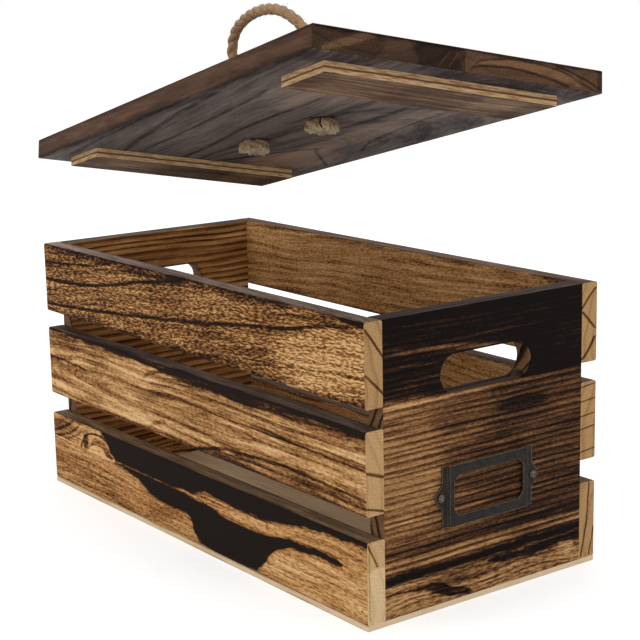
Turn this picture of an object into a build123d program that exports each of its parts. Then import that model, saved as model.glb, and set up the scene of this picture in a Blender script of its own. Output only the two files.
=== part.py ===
"""Slatted storage crate of torched wood with a lift-off lid and a rope handle.

Millimetres, Z up. X runs along the length, Y from the front to the back, and
the origin is the middle of the underside. The crate stands on its thin base.
The lid is modelled held up and tipped above the crate.
"""

from math import radians, sin, tan
import os

from build123d import *

os.makedirs("parts", exist_ok=True)

# Crate
box_length = 320.0
box_width = 156.0
box_height = 154.0
base_thickness = 3.0
slat_thickness = 11.0
slat_height = 42.5
slat_edge_radius = 1.2
# The gap under the middle slat takes this share of the height that the slats leave open
slat_low_gap_share = 0.545
end_thickness = 11.0
end_lower_height = 17.0
end_top_radius = 0.8

# Hand holes through the two ends
hand_hole_length = 60.0
hand_hole_height = 19.5
hand_hole_drop = 33.5
hand_hole_edge_radius = 1.5
hand_hole_inner_bevel = 1.0

# Brads of flat wire that pin slats, base and cleats
brad_width = 1.3
brad_thickness = 1.0
brad_clearance = 0.02
slat_brad_length = 25.0
slat_brad_end_inset = 4.5
slat_brad_edge_inset = 6.5
base_brad_length = 16.0
base_brad_pitch = 110.0
base_end_brad_pitch = 70.0
cleat_brad_length = 13.0
cleat_brad_pitch = 30.0

# Card frame on the right end, pressed from sheet
label_width = 61.0
label_height = 32.0
label_center_height = 58.5
label_metal = 0.8
label_card_space = 1.4
label_flange_width = 3.0
label_side_slope = 0.9
label_window_side = 4.0
label_window_rail = 5.5
label_window_cut = 3.2
label_window_bevel = 0.3
label_ear_reach = 4.6
label_ear_root = 14.0
label_ear_tip_radius = 2.6
label_ear_blend = 2.5

# Screws of the card frame, whose middles lie this far outside its sides
screw_outset = 0.8
screw_head_diameter = 4.2
screw_head_height = 1.3
screw_head_bevel_drop = 0.7
screw_head_bevel_reach = 1.1
screw_shank_diameter = 2.2
screw_shank_length = 8.0
screw_hole_clearance = 0.15
screw_slot_length = 2.4
screw_slot_width = 0.55
screw_slot_depth = 0.7

# Lid of two boards glued edge to edge, with a cleat near each end
lid_thickness = 11.0
lid_edge_radius = 0.9
cleat_width = 38.0
cleat_thickness = 5.0
cleat_end_clearance = 4.0
cleat_side_clearance = 4.0

# Rope handle through the lid, knotted underneath
rope_diameter = 6.0
rope_hole_pitch = 72.0
rope_hole_clearance = 0.5
rope_foot_rise = 0.5
rope_lean = 19.5
rope_most_lean = 24.0
rope_running_gap = 0.35
rope_sides = 10
knot_turn_radius = 5.5
knot_drop = 0.1
knot_end_reach = 1.2

# The handle's arch from foot to foot, as shares of the feet's spacing and of its rise
arch_rise = 52.8
arch_shape = [
    (-0.5, 0),
    (-0.514, 0.161),
    (-0.57, 0.35),
    (-0.6, 0.568),
    (-0.542, 0.792),
    (-0.396, 0.9375),
    (-0.18, 1),
    (0.055, 1),
    (0.27, 0.928),
    (0.4375, 0.78),
    (0.553, 0.58),
    (0.576, 0.352),
    (0.528, 0.1515),
    (0.5, 0),
]

# Each bend of the handle takes this share of the shorter run beside it
rope_bend_share = 0.45

# Where the lid is held: its lower face's middle, and its turns about X, Y and Z
held_right = 48.7
held_front = 39.1
held_up = 80.3
held_turns = (-11.6, -11.7, -7.7)

# Places closer than this are one place
hair = 0.1

side_signs = {"front": -1, "back": 1}
end_signs = {"left": -1, "right": 1}

slat_open_height = box_height - base_thickness - 3 * slat_height
slat_bottoms = {
    "bottom": base_thickness,
    "middle": base_thickness + slat_height + slat_low_gap_share * slat_open_height,
    "top": box_height - slat_height,
}
inside_length = box_length - 2 * end_thickness
inside_width = box_width - 2 * slat_thickness
slat_middle_y = (box_width - slat_thickness) / 2
end_middle_x = (box_length - end_thickness) / 2
slat_brad_x = box_length / 2 - slat_brad_end_inset
hand_hole_center_height = box_height - hand_hole_drop
seam_height = base_thickness + end_lower_height
label_raised_width = label_width - 2 * label_flange_width
label_window_width = label_raised_width - 2 * label_window_side
label_window_height = label_height - 2 * label_window_rail
screw_pitch = label_width + 2 * screw_outset
rope_radius = rope_diameter / 2
rope_hole_radius = rope_radius + rope_hole_clearance


def slat_brad_heights(level):
    """Heights of the two brads at each end of a slat."""
    low = slat_bottoms[level]
    return low + slat_brad_edge_inset, low + slat_height - slat_brad_edge_inset


def slat_brad_points(level):
    """Places of a slat's four brads on its outer face."""
    return [(sign * slat_brad_x, height) for sign in (-1, 1) for height in slat_brad_heights(level)]


def side_face(sign):
    """Outer face of the front or back, seen from inside: drilling goes inwards."""
    return Plane(origin=(0, sign * box_width / 2, 0), x_dir=(sign, 0, 0), z_dir=(0, -sign, 0))


def end_face(sign):
    """Outer face of an end, seen from outside, with up as its second axis."""
    return Plane(origin=(sign * box_length / 2, 0, 0), x_dir=(0, sign, 0), z_dir=(sign, 0, 0))


def brad(clearance=0.0):
    """Outline of a brad's wire, or of the slot that it cuts."""
    Rectangle(brad_width + 2 * clearance, brad_thickness + 2 * clearance)


# Where the brads of the base stand
base_slat_brad_xs = [step * base_brad_pitch for step in (-1, 0, 1)]
base_end_brad_ys = [step * base_end_brad_pitch / 2 for step in (-1, 1)]
base_brad_points = [(x, sign * slat_middle_y) for x in base_slat_brad_xs for sign in (-1, 1)]
base_brad_points += [(sign * end_middle_x, y) for y in base_end_brad_ys for sign in (-1, 1)]


# Thin base under slats and ends
with BuildPart() as base_board:
    with BuildSketch(Plane.XY):
        Rectangle(box_length, box_width)
    extrude(amount=base_thickness)
    with BuildSketch(Plane.XY):
        with Locations(*base_brad_points):
            brad(brad_clearance)
    extrude(amount=base_thickness, mode=Mode.SUBTRACT)

base_board.part.label = "base_board"
export_step(base_board.part, "parts/base_board.step")


# Slats, three in front and three behind
for side, side_sign in side_signs.items():
    for level, slat_bottom in slat_bottoms.items():
        with BuildPart() as slat:
            with BuildSketch(Plane.XY.offset(slat_bottom)):
                with Locations((0, side_sign * slat_middle_y)):
                    Rectangle(box_length, slat_thickness)
            extrude(amount=slat_height)
            fillet(slat.edges().filter_by(Axis.X), radius=slat_edge_radius)
            with BuildSketch(side_face(side_sign)):
                with Locations(*slat_brad_points(level)):
                    brad(brad_clearance)
            extrude(amount=slat_thickness, mode=Mode.SUBTRACT)
            if level == "bottom":
                with BuildSketch(Plane.XY):
                    with Locations(*base_brad_points):
                        brad(brad_clearance)
                extrude(amount=base_brad_length, mode=Mode.SUBTRACT)

        slat.part.label = f"slat_{side}_{level}"
        export_step(slat.part, f"parts/slat_{side}_{level}.step")


# Ends, each of two boards glued edge to edge, with the hand hole in the upper one
for end, end_sign in end_signs.items():
    with BuildPart() as lower_board:
        with BuildSketch(Plane.XY.offset(base_thickness)):
            with Locations((end_sign * end_middle_x, 0)):
                Rectangle(end_thickness, inside_width)
        extrude(amount=end_lower_height)
        with BuildSketch(Plane.XY):
            with Locations(*base_brad_points):
                brad(brad_clearance)
        extrude(amount=base_brad_length, mode=Mode.SUBTRACT)
        for side_sign in side_signs.values():
            with BuildSketch(side_face(side_sign)):
                with Locations((side_sign * end_sign * slat_brad_x, slat_brad_heights("bottom")[0])):
                    brad(brad_clearance)
            extrude(amount=slat_brad_length, mode=Mode.SUBTRACT)

    lower_board.part.label = f"end_{end}_lower"
    export_step(lower_board.part, f"parts/end_{end}_lower.step")

    with BuildPart() as upper_board:
        with BuildSketch(Plane.XY.offset(seam_height)):
            with Locations((end_sign * end_middle_x, 0)):
                Rectangle(end_thickness, inside_width)
        extrude(amount=box_height - seam_height)
        fillet(upper_board.edges().filter_by(Axis.Y).group_by(Axis.Z)[-1], radius=end_top_radius)
        with BuildSketch(end_face(end_sign)):
            with Locations((0, hand_hole_center_height)):
                SlotOverall(hand_hole_length, hand_hole_height)
        extrude(amount=-end_thickness, mode=Mode.SUBTRACT)
        inner_face, outer_face = upper_board.faces().filter_by(Axis.X).sort_by(Axis((0, 0, 0), (end_sign, 0, 0)))
        fillet(outer_face.inner_wires()[0].edges(), radius=hand_hole_edge_radius)
        chamfer(inner_face.inner_wires()[0].edges(), length=hand_hole_inner_bevel)
        for side_sign in side_signs.values():
            for level in slat_bottoms:
                for height in slat_brad_heights(level):
                    if height > seam_height:
                        with BuildSketch(side_face(side_sign)):
                            with Locations((side_sign * end_sign * slat_brad_x, height)):
                                brad(brad_clearance)
                        extrude(amount=slat_brad_length, mode=Mode.SUBTRACT)
        if end == "right":
            with BuildSketch(end_face(end_sign)):
                with Locations(*[(sign * screw_pitch / 2, label_center_height) for sign in (-1, 1)]):
                    Circle(screw_shank_diameter / 2)
            extrude(amount=-screw_shank_length, mode=Mode.SUBTRACT)

    upper_board.part.label = f"end_{end}_upper"
    export_step(upper_board.part, f"parts/end_{end}_upper.step")


# Brads through the slats into the ends
for side, side_sign in side_signs.items():
    with BuildPart() as slat_brads:
        with BuildSketch(side_face(side_sign)):
            for level in slat_bottoms:
                with Locations(*slat_brad_points(level)):
                    brad()
        extrude(amount=slat_brad_length)

    slat_brads.part.label = f"slat_brads_{side}"
    export_step(slat_brads.part, f"parts/slat_brads_{side}.step")


# Brads through the base, driven from below
with BuildPart() as base_brads:
    with BuildSketch(Plane.XY):
        with Locations(*base_brad_points):
            brad()
    extrude(amount=base_brad_length)

base_brads.part.label = "base_brads"
export_step(base_brads.part, "parts/base_brads.step")


# Card frame: flat flanges with ears, a raised front with a window, and an open top
label_origin = (box_length / 2, 0, label_center_height)
label_plane = Plane(origin=label_origin, x_dir=(0, 1, 0), z_dir=(1, 0, 0))
label_rise = label_card_space + label_metal
label_ear_center = label_width / 2 + label_ear_reach - label_ear_tip_radius
screw_points = [(sign * screw_pitch / 2, 0) for sign in (-1, 1)]

with BuildPart() as label_frame:
    with BuildSketch(label_plane) as flanges:
        for sign in (-1, 1):
            with BuildSketch(mode=Mode.PRIVATE) as ear:
                with Locations((sign * label_ear_center, 0)):
                    Circle(label_ear_tip_radius)
                with Locations((sign * (label_width - label_flange_width) / 2, 0)):
                    Rectangle(label_flange_width, label_ear_root)
                make_hull()
            add(ear)
        Rectangle(label_width, label_height)
        ear_roots = flanges.vertices().filter_by(
            lambda v: abs(abs(v.X) - label_width / 2) < hair and abs(v.Y) < label_height / 2 - hair
        )
        fillet(ear_roots, radius=label_ear_blend)
    extrude(amount=label_metal)
    with BuildSketch(label_plane):
        Rectangle(label_raised_width, label_height)
    extrude(amount=label_rise)
    raised_sides = label_frame.faces().sort_by(Axis.X)[-1].edges().filter_by(Axis.Z)
    chamfer(raised_sides, length=label_side_slope)
    with BuildSketch(label_plane):
        with Locations((0, label_metal)):
            Rectangle(label_raised_width - 2 * label_metal - label_side_slope, label_height)
    extrude(amount=label_card_space, mode=Mode.SUBTRACT)
    with BuildSketch(label_plane) as window:
        Rectangle(label_window_width, label_window_height)
        chamfer(window.vertices(), length=label_window_cut)
    extrude(amount=label_rise, mode=Mode.SUBTRACT)
    window_rim = label_frame.faces().sort_by(Axis.X)[-1].inner_wires()[0].edges()
    chamfer(window_rim, length=label_window_bevel)
    with BuildSketch(label_plane):
        with Locations(*screw_points):
            Circle(screw_shank_diameter / 2 + screw_hole_clearance)
    extrude(amount=label_metal, mode=Mode.SUBTRACT)

label_frame.part.label = "label_frame"
export_step(label_frame.part, "parts/label_frame.step")


# Two screws with raised heads and a cross slot
with BuildPart() as label_screws:
    with BuildSketch(label_plane.offset(label_metal)):
        with Locations(*screw_points):
            Circle(screw_head_diameter / 2)
    extrude(amount=screw_head_height)
    head_rims = label_screws.faces().filter_by(Axis.X).group_by(Axis.X)[-1].edges()
    chamfer(head_rims, length=screw_head_bevel_drop, length2=screw_head_bevel_reach)
    with BuildSketch(label_plane.offset(label_metal + screw_head_height)):
        with Locations(*screw_points):
            Rectangle(screw_slot_length, screw_slot_width)
            Rectangle(screw_slot_width, screw_slot_length)
    extrude(amount=-screw_slot_depth, mode=Mode.SUBTRACT)
    with BuildSketch(label_plane.offset(label_metal)):
        with Locations(*screw_points):
            Circle(screw_shank_diameter / 2)
    extrude(amount=-(label_metal + screw_shank_length))

label_screws.part.label = "label_screws"
export_step(label_screws.part, "parts/label_screws.step")


# Lid: its lower face lies on this plane, its length along the plane's first axis
lid_plane = Plane(Location((held_right, -held_front, box_height + held_up), held_turns))
rope_hole_points = [(sign * rope_hole_pitch / 2, 0) for sign in (-1, 1)]
cleat_middle_x = inside_length / 2 - cleat_end_clearance - cleat_width / 2
cleat_length = inside_width - 2 * cleat_side_clearance
cleat_brad_ys = [step * cleat_brad_pitch for step in (-1.5, -0.5, 0.5, 1.5)]
cleat_brad_points = [(sign * cleat_middle_x, y) for sign in (-1, 1) for y in cleat_brad_ys]

for side, side_sign in side_signs.items():
    with BuildPart() as lid_board:
        with BuildSketch(lid_plane):
            with Locations((0, side_sign * box_width / 4)):
                Rectangle(box_length, box_width / 2)
        extrude(amount=lid_thickness)
        outer_edges = lid_board.edges().filter_by(
            lambda edge: abs(lid_plane.to_local_coords(edge.center()).Y) > lid_edge_radius
        )
        fillet(outer_edges, radius=lid_edge_radius)
        with BuildSketch(lid_plane):
            with Locations(*rope_hole_points):
                Circle(rope_hole_radius)
        extrude(amount=lid_thickness, mode=Mode.SUBTRACT)
        with BuildSketch(lid_plane):
            with Locations(*cleat_brad_points):
                brad(brad_clearance)
        extrude(amount=cleat_brad_length - cleat_thickness, mode=Mode.SUBTRACT)

    lid_board.part.label = f"lid_board_{side}"
    export_step(lid_board.part, f"parts/lid_board_{side}.step")


# Plywood cleats that drop inside the crate's rim
for end, end_sign in end_signs.items():
    with BuildPart() as cleat:
        with BuildSketch(lid_plane):
            with Locations((end_sign * cleat_middle_x, 0)):
                Rectangle(cleat_width, cleat_length)
        extrude(amount=-cleat_thickness)
        with BuildSketch(lid_plane):
            with Locations(*cleat_brad_points):
                brad(brad_clearance)
        extrude(amount=-cleat_thickness, mode=Mode.SUBTRACT)

    cleat.part.label = f"lid_cleat_{end}"
    export_step(cleat.part, f"parts/lid_cleat_{end}.step")

with BuildPart() as cleat_brads:
    with BuildSketch(lid_plane.offset(-cleat_thickness)):
        with Locations(*cleat_brad_points):
            brad()
    extrude(amount=cleat_brad_length)

cleat_brads.part.label = "cleat_brads"
export_step(cleat_brads.part, "parts/cleat_brads.step")


# Rope handle: an arch that leans over the line through its two feet
foot_level = lid_plane.offset(lid_thickness + rope_foot_rise)
foot_plane = Plane(foot_level.location * Location((0, 0, 0), (rope_lean, 0, 0)))
arch_plane = Plane(origin=foot_plane.origin, x_dir=foot_plane.x_dir, z_dir=-foot_plane.y_dir)
arch_points = [(across * rope_hole_pitch, up * arch_rise) for across, up in arch_shape]
arch_corners = [Vector(*point) for point in arch_points]
arch_radii = []
for before, corner, after in zip(arch_corners, arch_corners[1:], arch_corners[2:]):
    run_in = corner - before
    run_out = after - corner
    half_turn = radians(run_in.get_angle(run_out)) / 2
    arch_radii.append(rope_bend_share * min(run_in.length, run_out.length) / tan(half_turn))
print("rope arch radii", [round(radius, 1) for radius in arch_radii])

with BuildPart() as rope_handle:
    with BuildLine(arch_plane) as arch_path:
        FilletPolyline(*arch_points, radius=arch_radii)
    arch_wire = arch_path.wire()
    with BuildSketch(Plane(origin=arch_wire @ 0, z_dir=arch_wire % 0)):
        RegularPolygon(rope_radius, rope_sides)
    sweep()

print("rope arch length", round(arch_wire.length, 1), "volume", round(rope_handle.part.volume, 1))
rope_handle.part.label = "rope_handle"
export_step(rope_handle.part, "parts/rope_handle.step")


# Rope legs through the lid, each with a turn knotted round it and cut off underneath
foot_dip = rope_radius * sin(radians(rope_most_lean))
leg_top = lid_thickness + rope_foot_rise - foot_dip - rope_running_gap
leg_end = -knot_drop - rope_diameter - knot_end_reach
for end, end_sign in end_signs.items():
    leg_x = end_sign * rope_hole_pitch / 2
    leg_origin = lid_plane.from_local_coords((leg_x, 0, 0))
    with BuildPart() as knot:
        with BuildSketch(lid_plane.offset(leg_end)):
            with Locations((leg_x, 0)):
                RegularPolygon(rope_radius, rope_sides)
        extrude(amount=leg_top - leg_end)
        with BuildSketch(Plane(origin=leg_origin, x_dir=lid_plane.x_dir, z_dir=-lid_plane.y_dir)):
            with Locations((knot_turn_radius, -knot_drop - rope_radius)):
                RegularPolygon(rope_radius, rope_sides)
        revolve(axis=Axis(leg_origin, lid_plane.z_dir))

    knot.part.label = f"rope_knot_{end}"
    export_step(knot.part, f"parts/rope_knot_{end}.step")
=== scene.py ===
"""Looks of the slatted storage crate with its lifted lid and rope handle, for Blender 4.5.

Metres, Z up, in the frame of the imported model: X runs along the length and Y from the
front to the back. The figure of each board is given in millimetres on the board itself.
"""

import logging
import math
import random
from dataclasses import dataclass, field
from enum import Enum

import bpy
from mathutils import Euler, Matrix, Vector


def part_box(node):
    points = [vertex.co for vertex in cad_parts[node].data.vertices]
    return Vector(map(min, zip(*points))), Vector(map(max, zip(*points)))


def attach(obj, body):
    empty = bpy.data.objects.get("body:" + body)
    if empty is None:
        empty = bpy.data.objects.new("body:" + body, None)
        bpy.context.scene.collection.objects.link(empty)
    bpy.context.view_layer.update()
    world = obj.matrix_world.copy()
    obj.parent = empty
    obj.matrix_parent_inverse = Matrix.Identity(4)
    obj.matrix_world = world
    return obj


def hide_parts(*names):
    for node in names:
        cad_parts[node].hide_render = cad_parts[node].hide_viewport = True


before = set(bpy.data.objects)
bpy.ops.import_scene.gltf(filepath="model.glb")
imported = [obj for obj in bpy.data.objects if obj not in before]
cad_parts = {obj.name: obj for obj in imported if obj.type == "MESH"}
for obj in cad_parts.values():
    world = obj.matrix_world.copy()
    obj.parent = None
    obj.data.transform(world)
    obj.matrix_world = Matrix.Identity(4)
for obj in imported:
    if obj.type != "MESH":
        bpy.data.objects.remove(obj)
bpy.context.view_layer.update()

LOG = logging.getLogger("crate")
MM = 0.001
UP = Vector((0.0, 0.0, 1.0))
DOWN = Vector((0.0, 0.0, -1.0))
RIGHT = Vector((1.0, 0.0, 0.0))
BACK = Vector((0.0, 1.0, 0.0))
ORIGIN = (0.0, 0.0, 0.0)
WHITE = (1.0, 1.0, 1.0, 1.0)

Colour = tuple[float, float, float]
Point = tuple[float, float]
Material = bpy.types.Material
Node = bpy.types.Node
Piece = bpy.types.Object
Socket = bpy.types.NodeSocket
Tree = bpy.types.NodeTree


def tint(red: int, green: int, blue: int) -> Colour:
    """Turns a colour as a screen shows it, 0 to 255, into the linear one that shaders use."""
    return tuple(
        value / 12.92 if value <= 0.04045 else ((value + 0.055) / 1.055) ** 2.4
        for value in (red / 255, green / 255, blue / 255)
    )


@dataclass(frozen=True, eq=False)
class Value:
    """A socket to reckon with: a sign between two values adds the node that does the sum."""

    graph: "Graph"
    socket: Socket

    def __add__(self, other: object) -> "Value":
        """Adds another value."""
        return self.graph.math("ADD", self, other)

    def __sub__(self, other: object) -> "Value":
        """Takes another value away."""
        return self.graph.math("SUBTRACT", self, other)

    def __rsub__(self, other: object) -> "Value":
        """Takes this value away from a plain number."""
        return self.graph.math("SUBTRACT", other, self)

    def __mul__(self, other: object) -> "Value":
        """Multiplies with another value."""
        return self.graph.math("MULTIPLY", self, other)

    def __truediv__(self, other: object) -> "Value":
        """Divides by another value."""
        return self.graph.math("DIVIDE", self, other)

    def __neg__(self) -> "Value":
        """Changes the sign."""
        return self.graph.math("MULTIPLY", self, -1.0)

    def __abs__(self) -> "Value":
        """Drops the sign."""
        return self.graph.math("ABSOLUTE", self)

    __radd__ = __add__


def is_vector(value: object) -> bool:
    """Says whether a value or a plain one has three parts."""
    return isinstance(value, tuple) or isinstance(value, Value) and value.socket.type == "VECTOR"


class Graph:
    """The nodes of one material, world or node group, with short ways to add them."""

    def __init__(self, tree: Tree) -> None:
        """Keeps the tree that the nodes go into."""
        self.tree = tree

    @classmethod
    def opened(cls, owner: bpy.types.ID) -> "Graph":
        """Empties the nodes of a material or world.

        Args:
            owner: The material or world.

        Returns:
            Its graph.
        """
        owner.use_nodes = True
        owner.node_tree.nodes.clear()
        return cls(owner.node_tree)

    def node(self, kind: str, *values: object, named: dict[str, object] | None = None,
             **settings: object) -> Node:
        """Adds a node.

        Args:
            kind: Blender's name of the node's type, without ShaderNode.
            values: What its first inputs are fed, in their order.
            named: What other inputs are fed, by their names.
            settings: Properties of the node to set.

        Returns:
            The new node.
        """
        made = self.tree.nodes.new(f"ShaderNode{kind}")
        for name, value in settings.items():
            setattr(made, name, value)
        for socket, value in zip(made.inputs, values):
            self.feed(socket, value)
        for name, value in (named or {}).items():
            self.feed(made.inputs[name], value)
        return made

    def feed(self, socket: Socket, source: object) -> None:
        """Links a socket to a value, or gives it a plain number, vector or colour."""
        if isinstance(source, Value):
            self.tree.links.new(source.socket, socket)
        else:
            socket.default_value = source

    def out(self, node: Node, output: int | str = 0) -> Value:
        """Gives one output of a node."""
        return Value(self, node.outputs[output])

    def math(self, operation: str, *values: object) -> Value:
        """Gives the result of a Math node, or of a Vector Math node where a value is a vector."""
        kind = "VectorMath" if any(is_vector(value) for value in values) else "Math"
        return self.out(self.node(kind, *values, operation=operation))

    def length(self, across: Value, up: Value) -> Value:
        """Gives the length of a line that goes so far across and so far up."""
        return self.math("SQRT", across * across + up * up)

    def step(self, value: Value, low: object, high: object, at_low: float = 0.0,
             at_high: float = 1.0) -> Value:
        """Passes smoothly from one level to another as a value rises.

        Args:
            value: The value that rises.
            low: Where the passage starts.
            high: Where it ends.
            at_low: The level up to low.
            at_high: The level from high on.

        Returns:
            The level.
        """
        passage = self.node("MapRange", value, low, high, at_low, at_high, interpolation_type="SMOOTHSTEP")
        return self.out(passage)

    def fall(self, value: Value, low: object, high: object) -> Value:
        """Passes smoothly from 1 to 0 as a value rises from low to high."""
        return self.step(value, low, high, 1.0, 0.0)

    def split(self, vector: Value) -> tuple[Value, ...]:
        """Gives the three parts of a vector."""
        return tuple(Value(self, part) for part in self.node("SeparateXYZ", vector).outputs)

    def join(self, *parts: object) -> Value:
        """Gives a vector of two or three parts."""
        return self.out(self.node("CombineXYZ", *parts))

    def mix(self, factor: Value, first: object, second: object) -> Value:
        """Mixes two colours.

        Args:
            factor: 0 for the first colour, 1 for the second.
            first: A plain linear colour or a value.
            second: A plain linear colour or a value.

        Returns:
            The mixed colour.
        """
        made = self.node("Mix", factor, data_type="RGBA")
        for socket, colour in zip(made.inputs[6:8], (first, second)):
            self.feed(socket, (*colour, 1.0) if isinstance(colour, tuple) else colour)
        return self.out(made, 2)

    def ramp(self, value: Value, stops: dict[float, Colour]) -> Value:
        """Turns a value into a colour.

        Args:
            value: The value, from 0 to 1.
            stops: The colours at two or more levels.

        Returns:
            The colour.
        """
        made = self.node("ValToRGB", value)
        elements = made.color_ramp.elements
        for place, (level, colour) in enumerate(stops.items()):
            element = elements[place] if place < 2 else elements.new(level)
            element.position = level
            element.color = (*colour, 1.0)
        return self.out(made)

    def noise(self, place: Value, detail: float = 2.0, roughness: float = 0.5) -> Value:
        """Gives smooth noise, mostly from 0.25 to 0.75, with features about one unit wide."""
        named = {"Vector": place, "Scale": 1.0, "Detail": detail, "Roughness": roughness}
        return self.out(self.node("TexNoise", named=named))

    def curve(self, along: Value, points: tuple[Point, ...]) -> Value:
        """Draws a smooth curve through points.

        Args:
            along: The place along the grain.
            points: The points, along and across, from the left to the right.

        Returns:
            The place across.
        """
        start, end = points[0][0], points[-1][0]
        heights = [height for _, height in points]
        low, high = min(heights) - 1.0, max(heights) + 1.0
        made = self.node("FloatCurve", named={"Value": (along - start) / (end - start)})
        levels = [((x - start) / (end - start), (height - low) / (high - low)) for x, height in points]
        stops = made.mapping.curves[0].points
        stops[0].location = levels[0]
        stops[1].location = levels[-1]
        for level in levels[1:-1]:
            stops.new(*level)
        made.mapping.update()
        return self.out(made) * (high - low) + low

    def place(self, vector: Value, centre: object, turn: object, size: object) -> Value:
        """Gives a vector in the axes of something that is moved, turned and scaled.

        Args:
            vector: The vector in the outer axes.
            centre: Where the inner axes start.
            turn: How they are turned, as XYZ angles.
            size: The length of the inner units.

        Returns:
            The vector in the inner axes.
        """
        return self.out(self.node("Mapping", vector, centre, turn, size, vector_type="TEXTURE"))

    def millimetres(self) -> Value:
        """Gives the place on a piece in millimetres."""
        return self.place(self.out(self.node("TexCoord"), "Object"), ORIGIN, ORIGIN, (MM, MM, MM))

    def bump(self, height: Value, strength: float, distance: float) -> Value:
        """Gives the normal of a surface that rises and falls."""
        named = {"Height": height, "Strength": strength, "Distance": distance}
        return self.out(self.node("Bump", named=named))

    def principled(self, named: dict[str, object]) -> None:
        """Ends a material in a Principled shader, fed by its inputs' names."""
        self.node("OutputMaterial", self.out(self.node("BsdfPrincipled", named=named)))

    def call(self, group: Tree, **values: object) -> tuple[Value, ...]:
        """Places a node group, fed by its inputs' names, and gives its outputs."""
        made = self.node("Group", node_tree=group, named={name.capitalize(): values[name] for name in values})
        return tuple(Value(self, output) for output in made.outputs)


class GroupGraph(Graph):
    """A node group with named inputs and outputs."""

    def __init__(self, name: str, vectors: tuple[str, ...], values: tuple[str, ...],
                 outputs: tuple[str, ...]) -> None:
        """Makes the group with its sockets.

        Args:
            name: The group's name.
            vectors: Names of the vector inputs, which come first.
            values: Names of the value inputs.
            outputs: Names of the value outputs.
        """
        super().__init__(bpy.data.node_groups.new(name, "ShaderNodeTree"))
        kinds = ((vectors, "INPUT", "Vector"), (values, "INPUT", "Float"), (outputs, "OUTPUT", "Float"))
        for names, way, kind in kinds:
            for socket in names:
                self.tree.interface.new_socket(socket, in_out=way, socket_type=f"NodeSocket{kind}")
        sources = self.tree.nodes.new("NodeGroupInput").outputs
        self.given = tuple(Value(self, socket) for socket in sources[:len(vectors) + len(values)])
        self.result = self.tree.nodes.new("NodeGroupOutput")

    def close(self, *values: Value) -> Tree:
        """Feeds the outputs in order and gives the finished group."""
        for socket, value in zip(self.result.inputs, values):
            self.feed(socket, value)
        return self.tree


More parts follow.
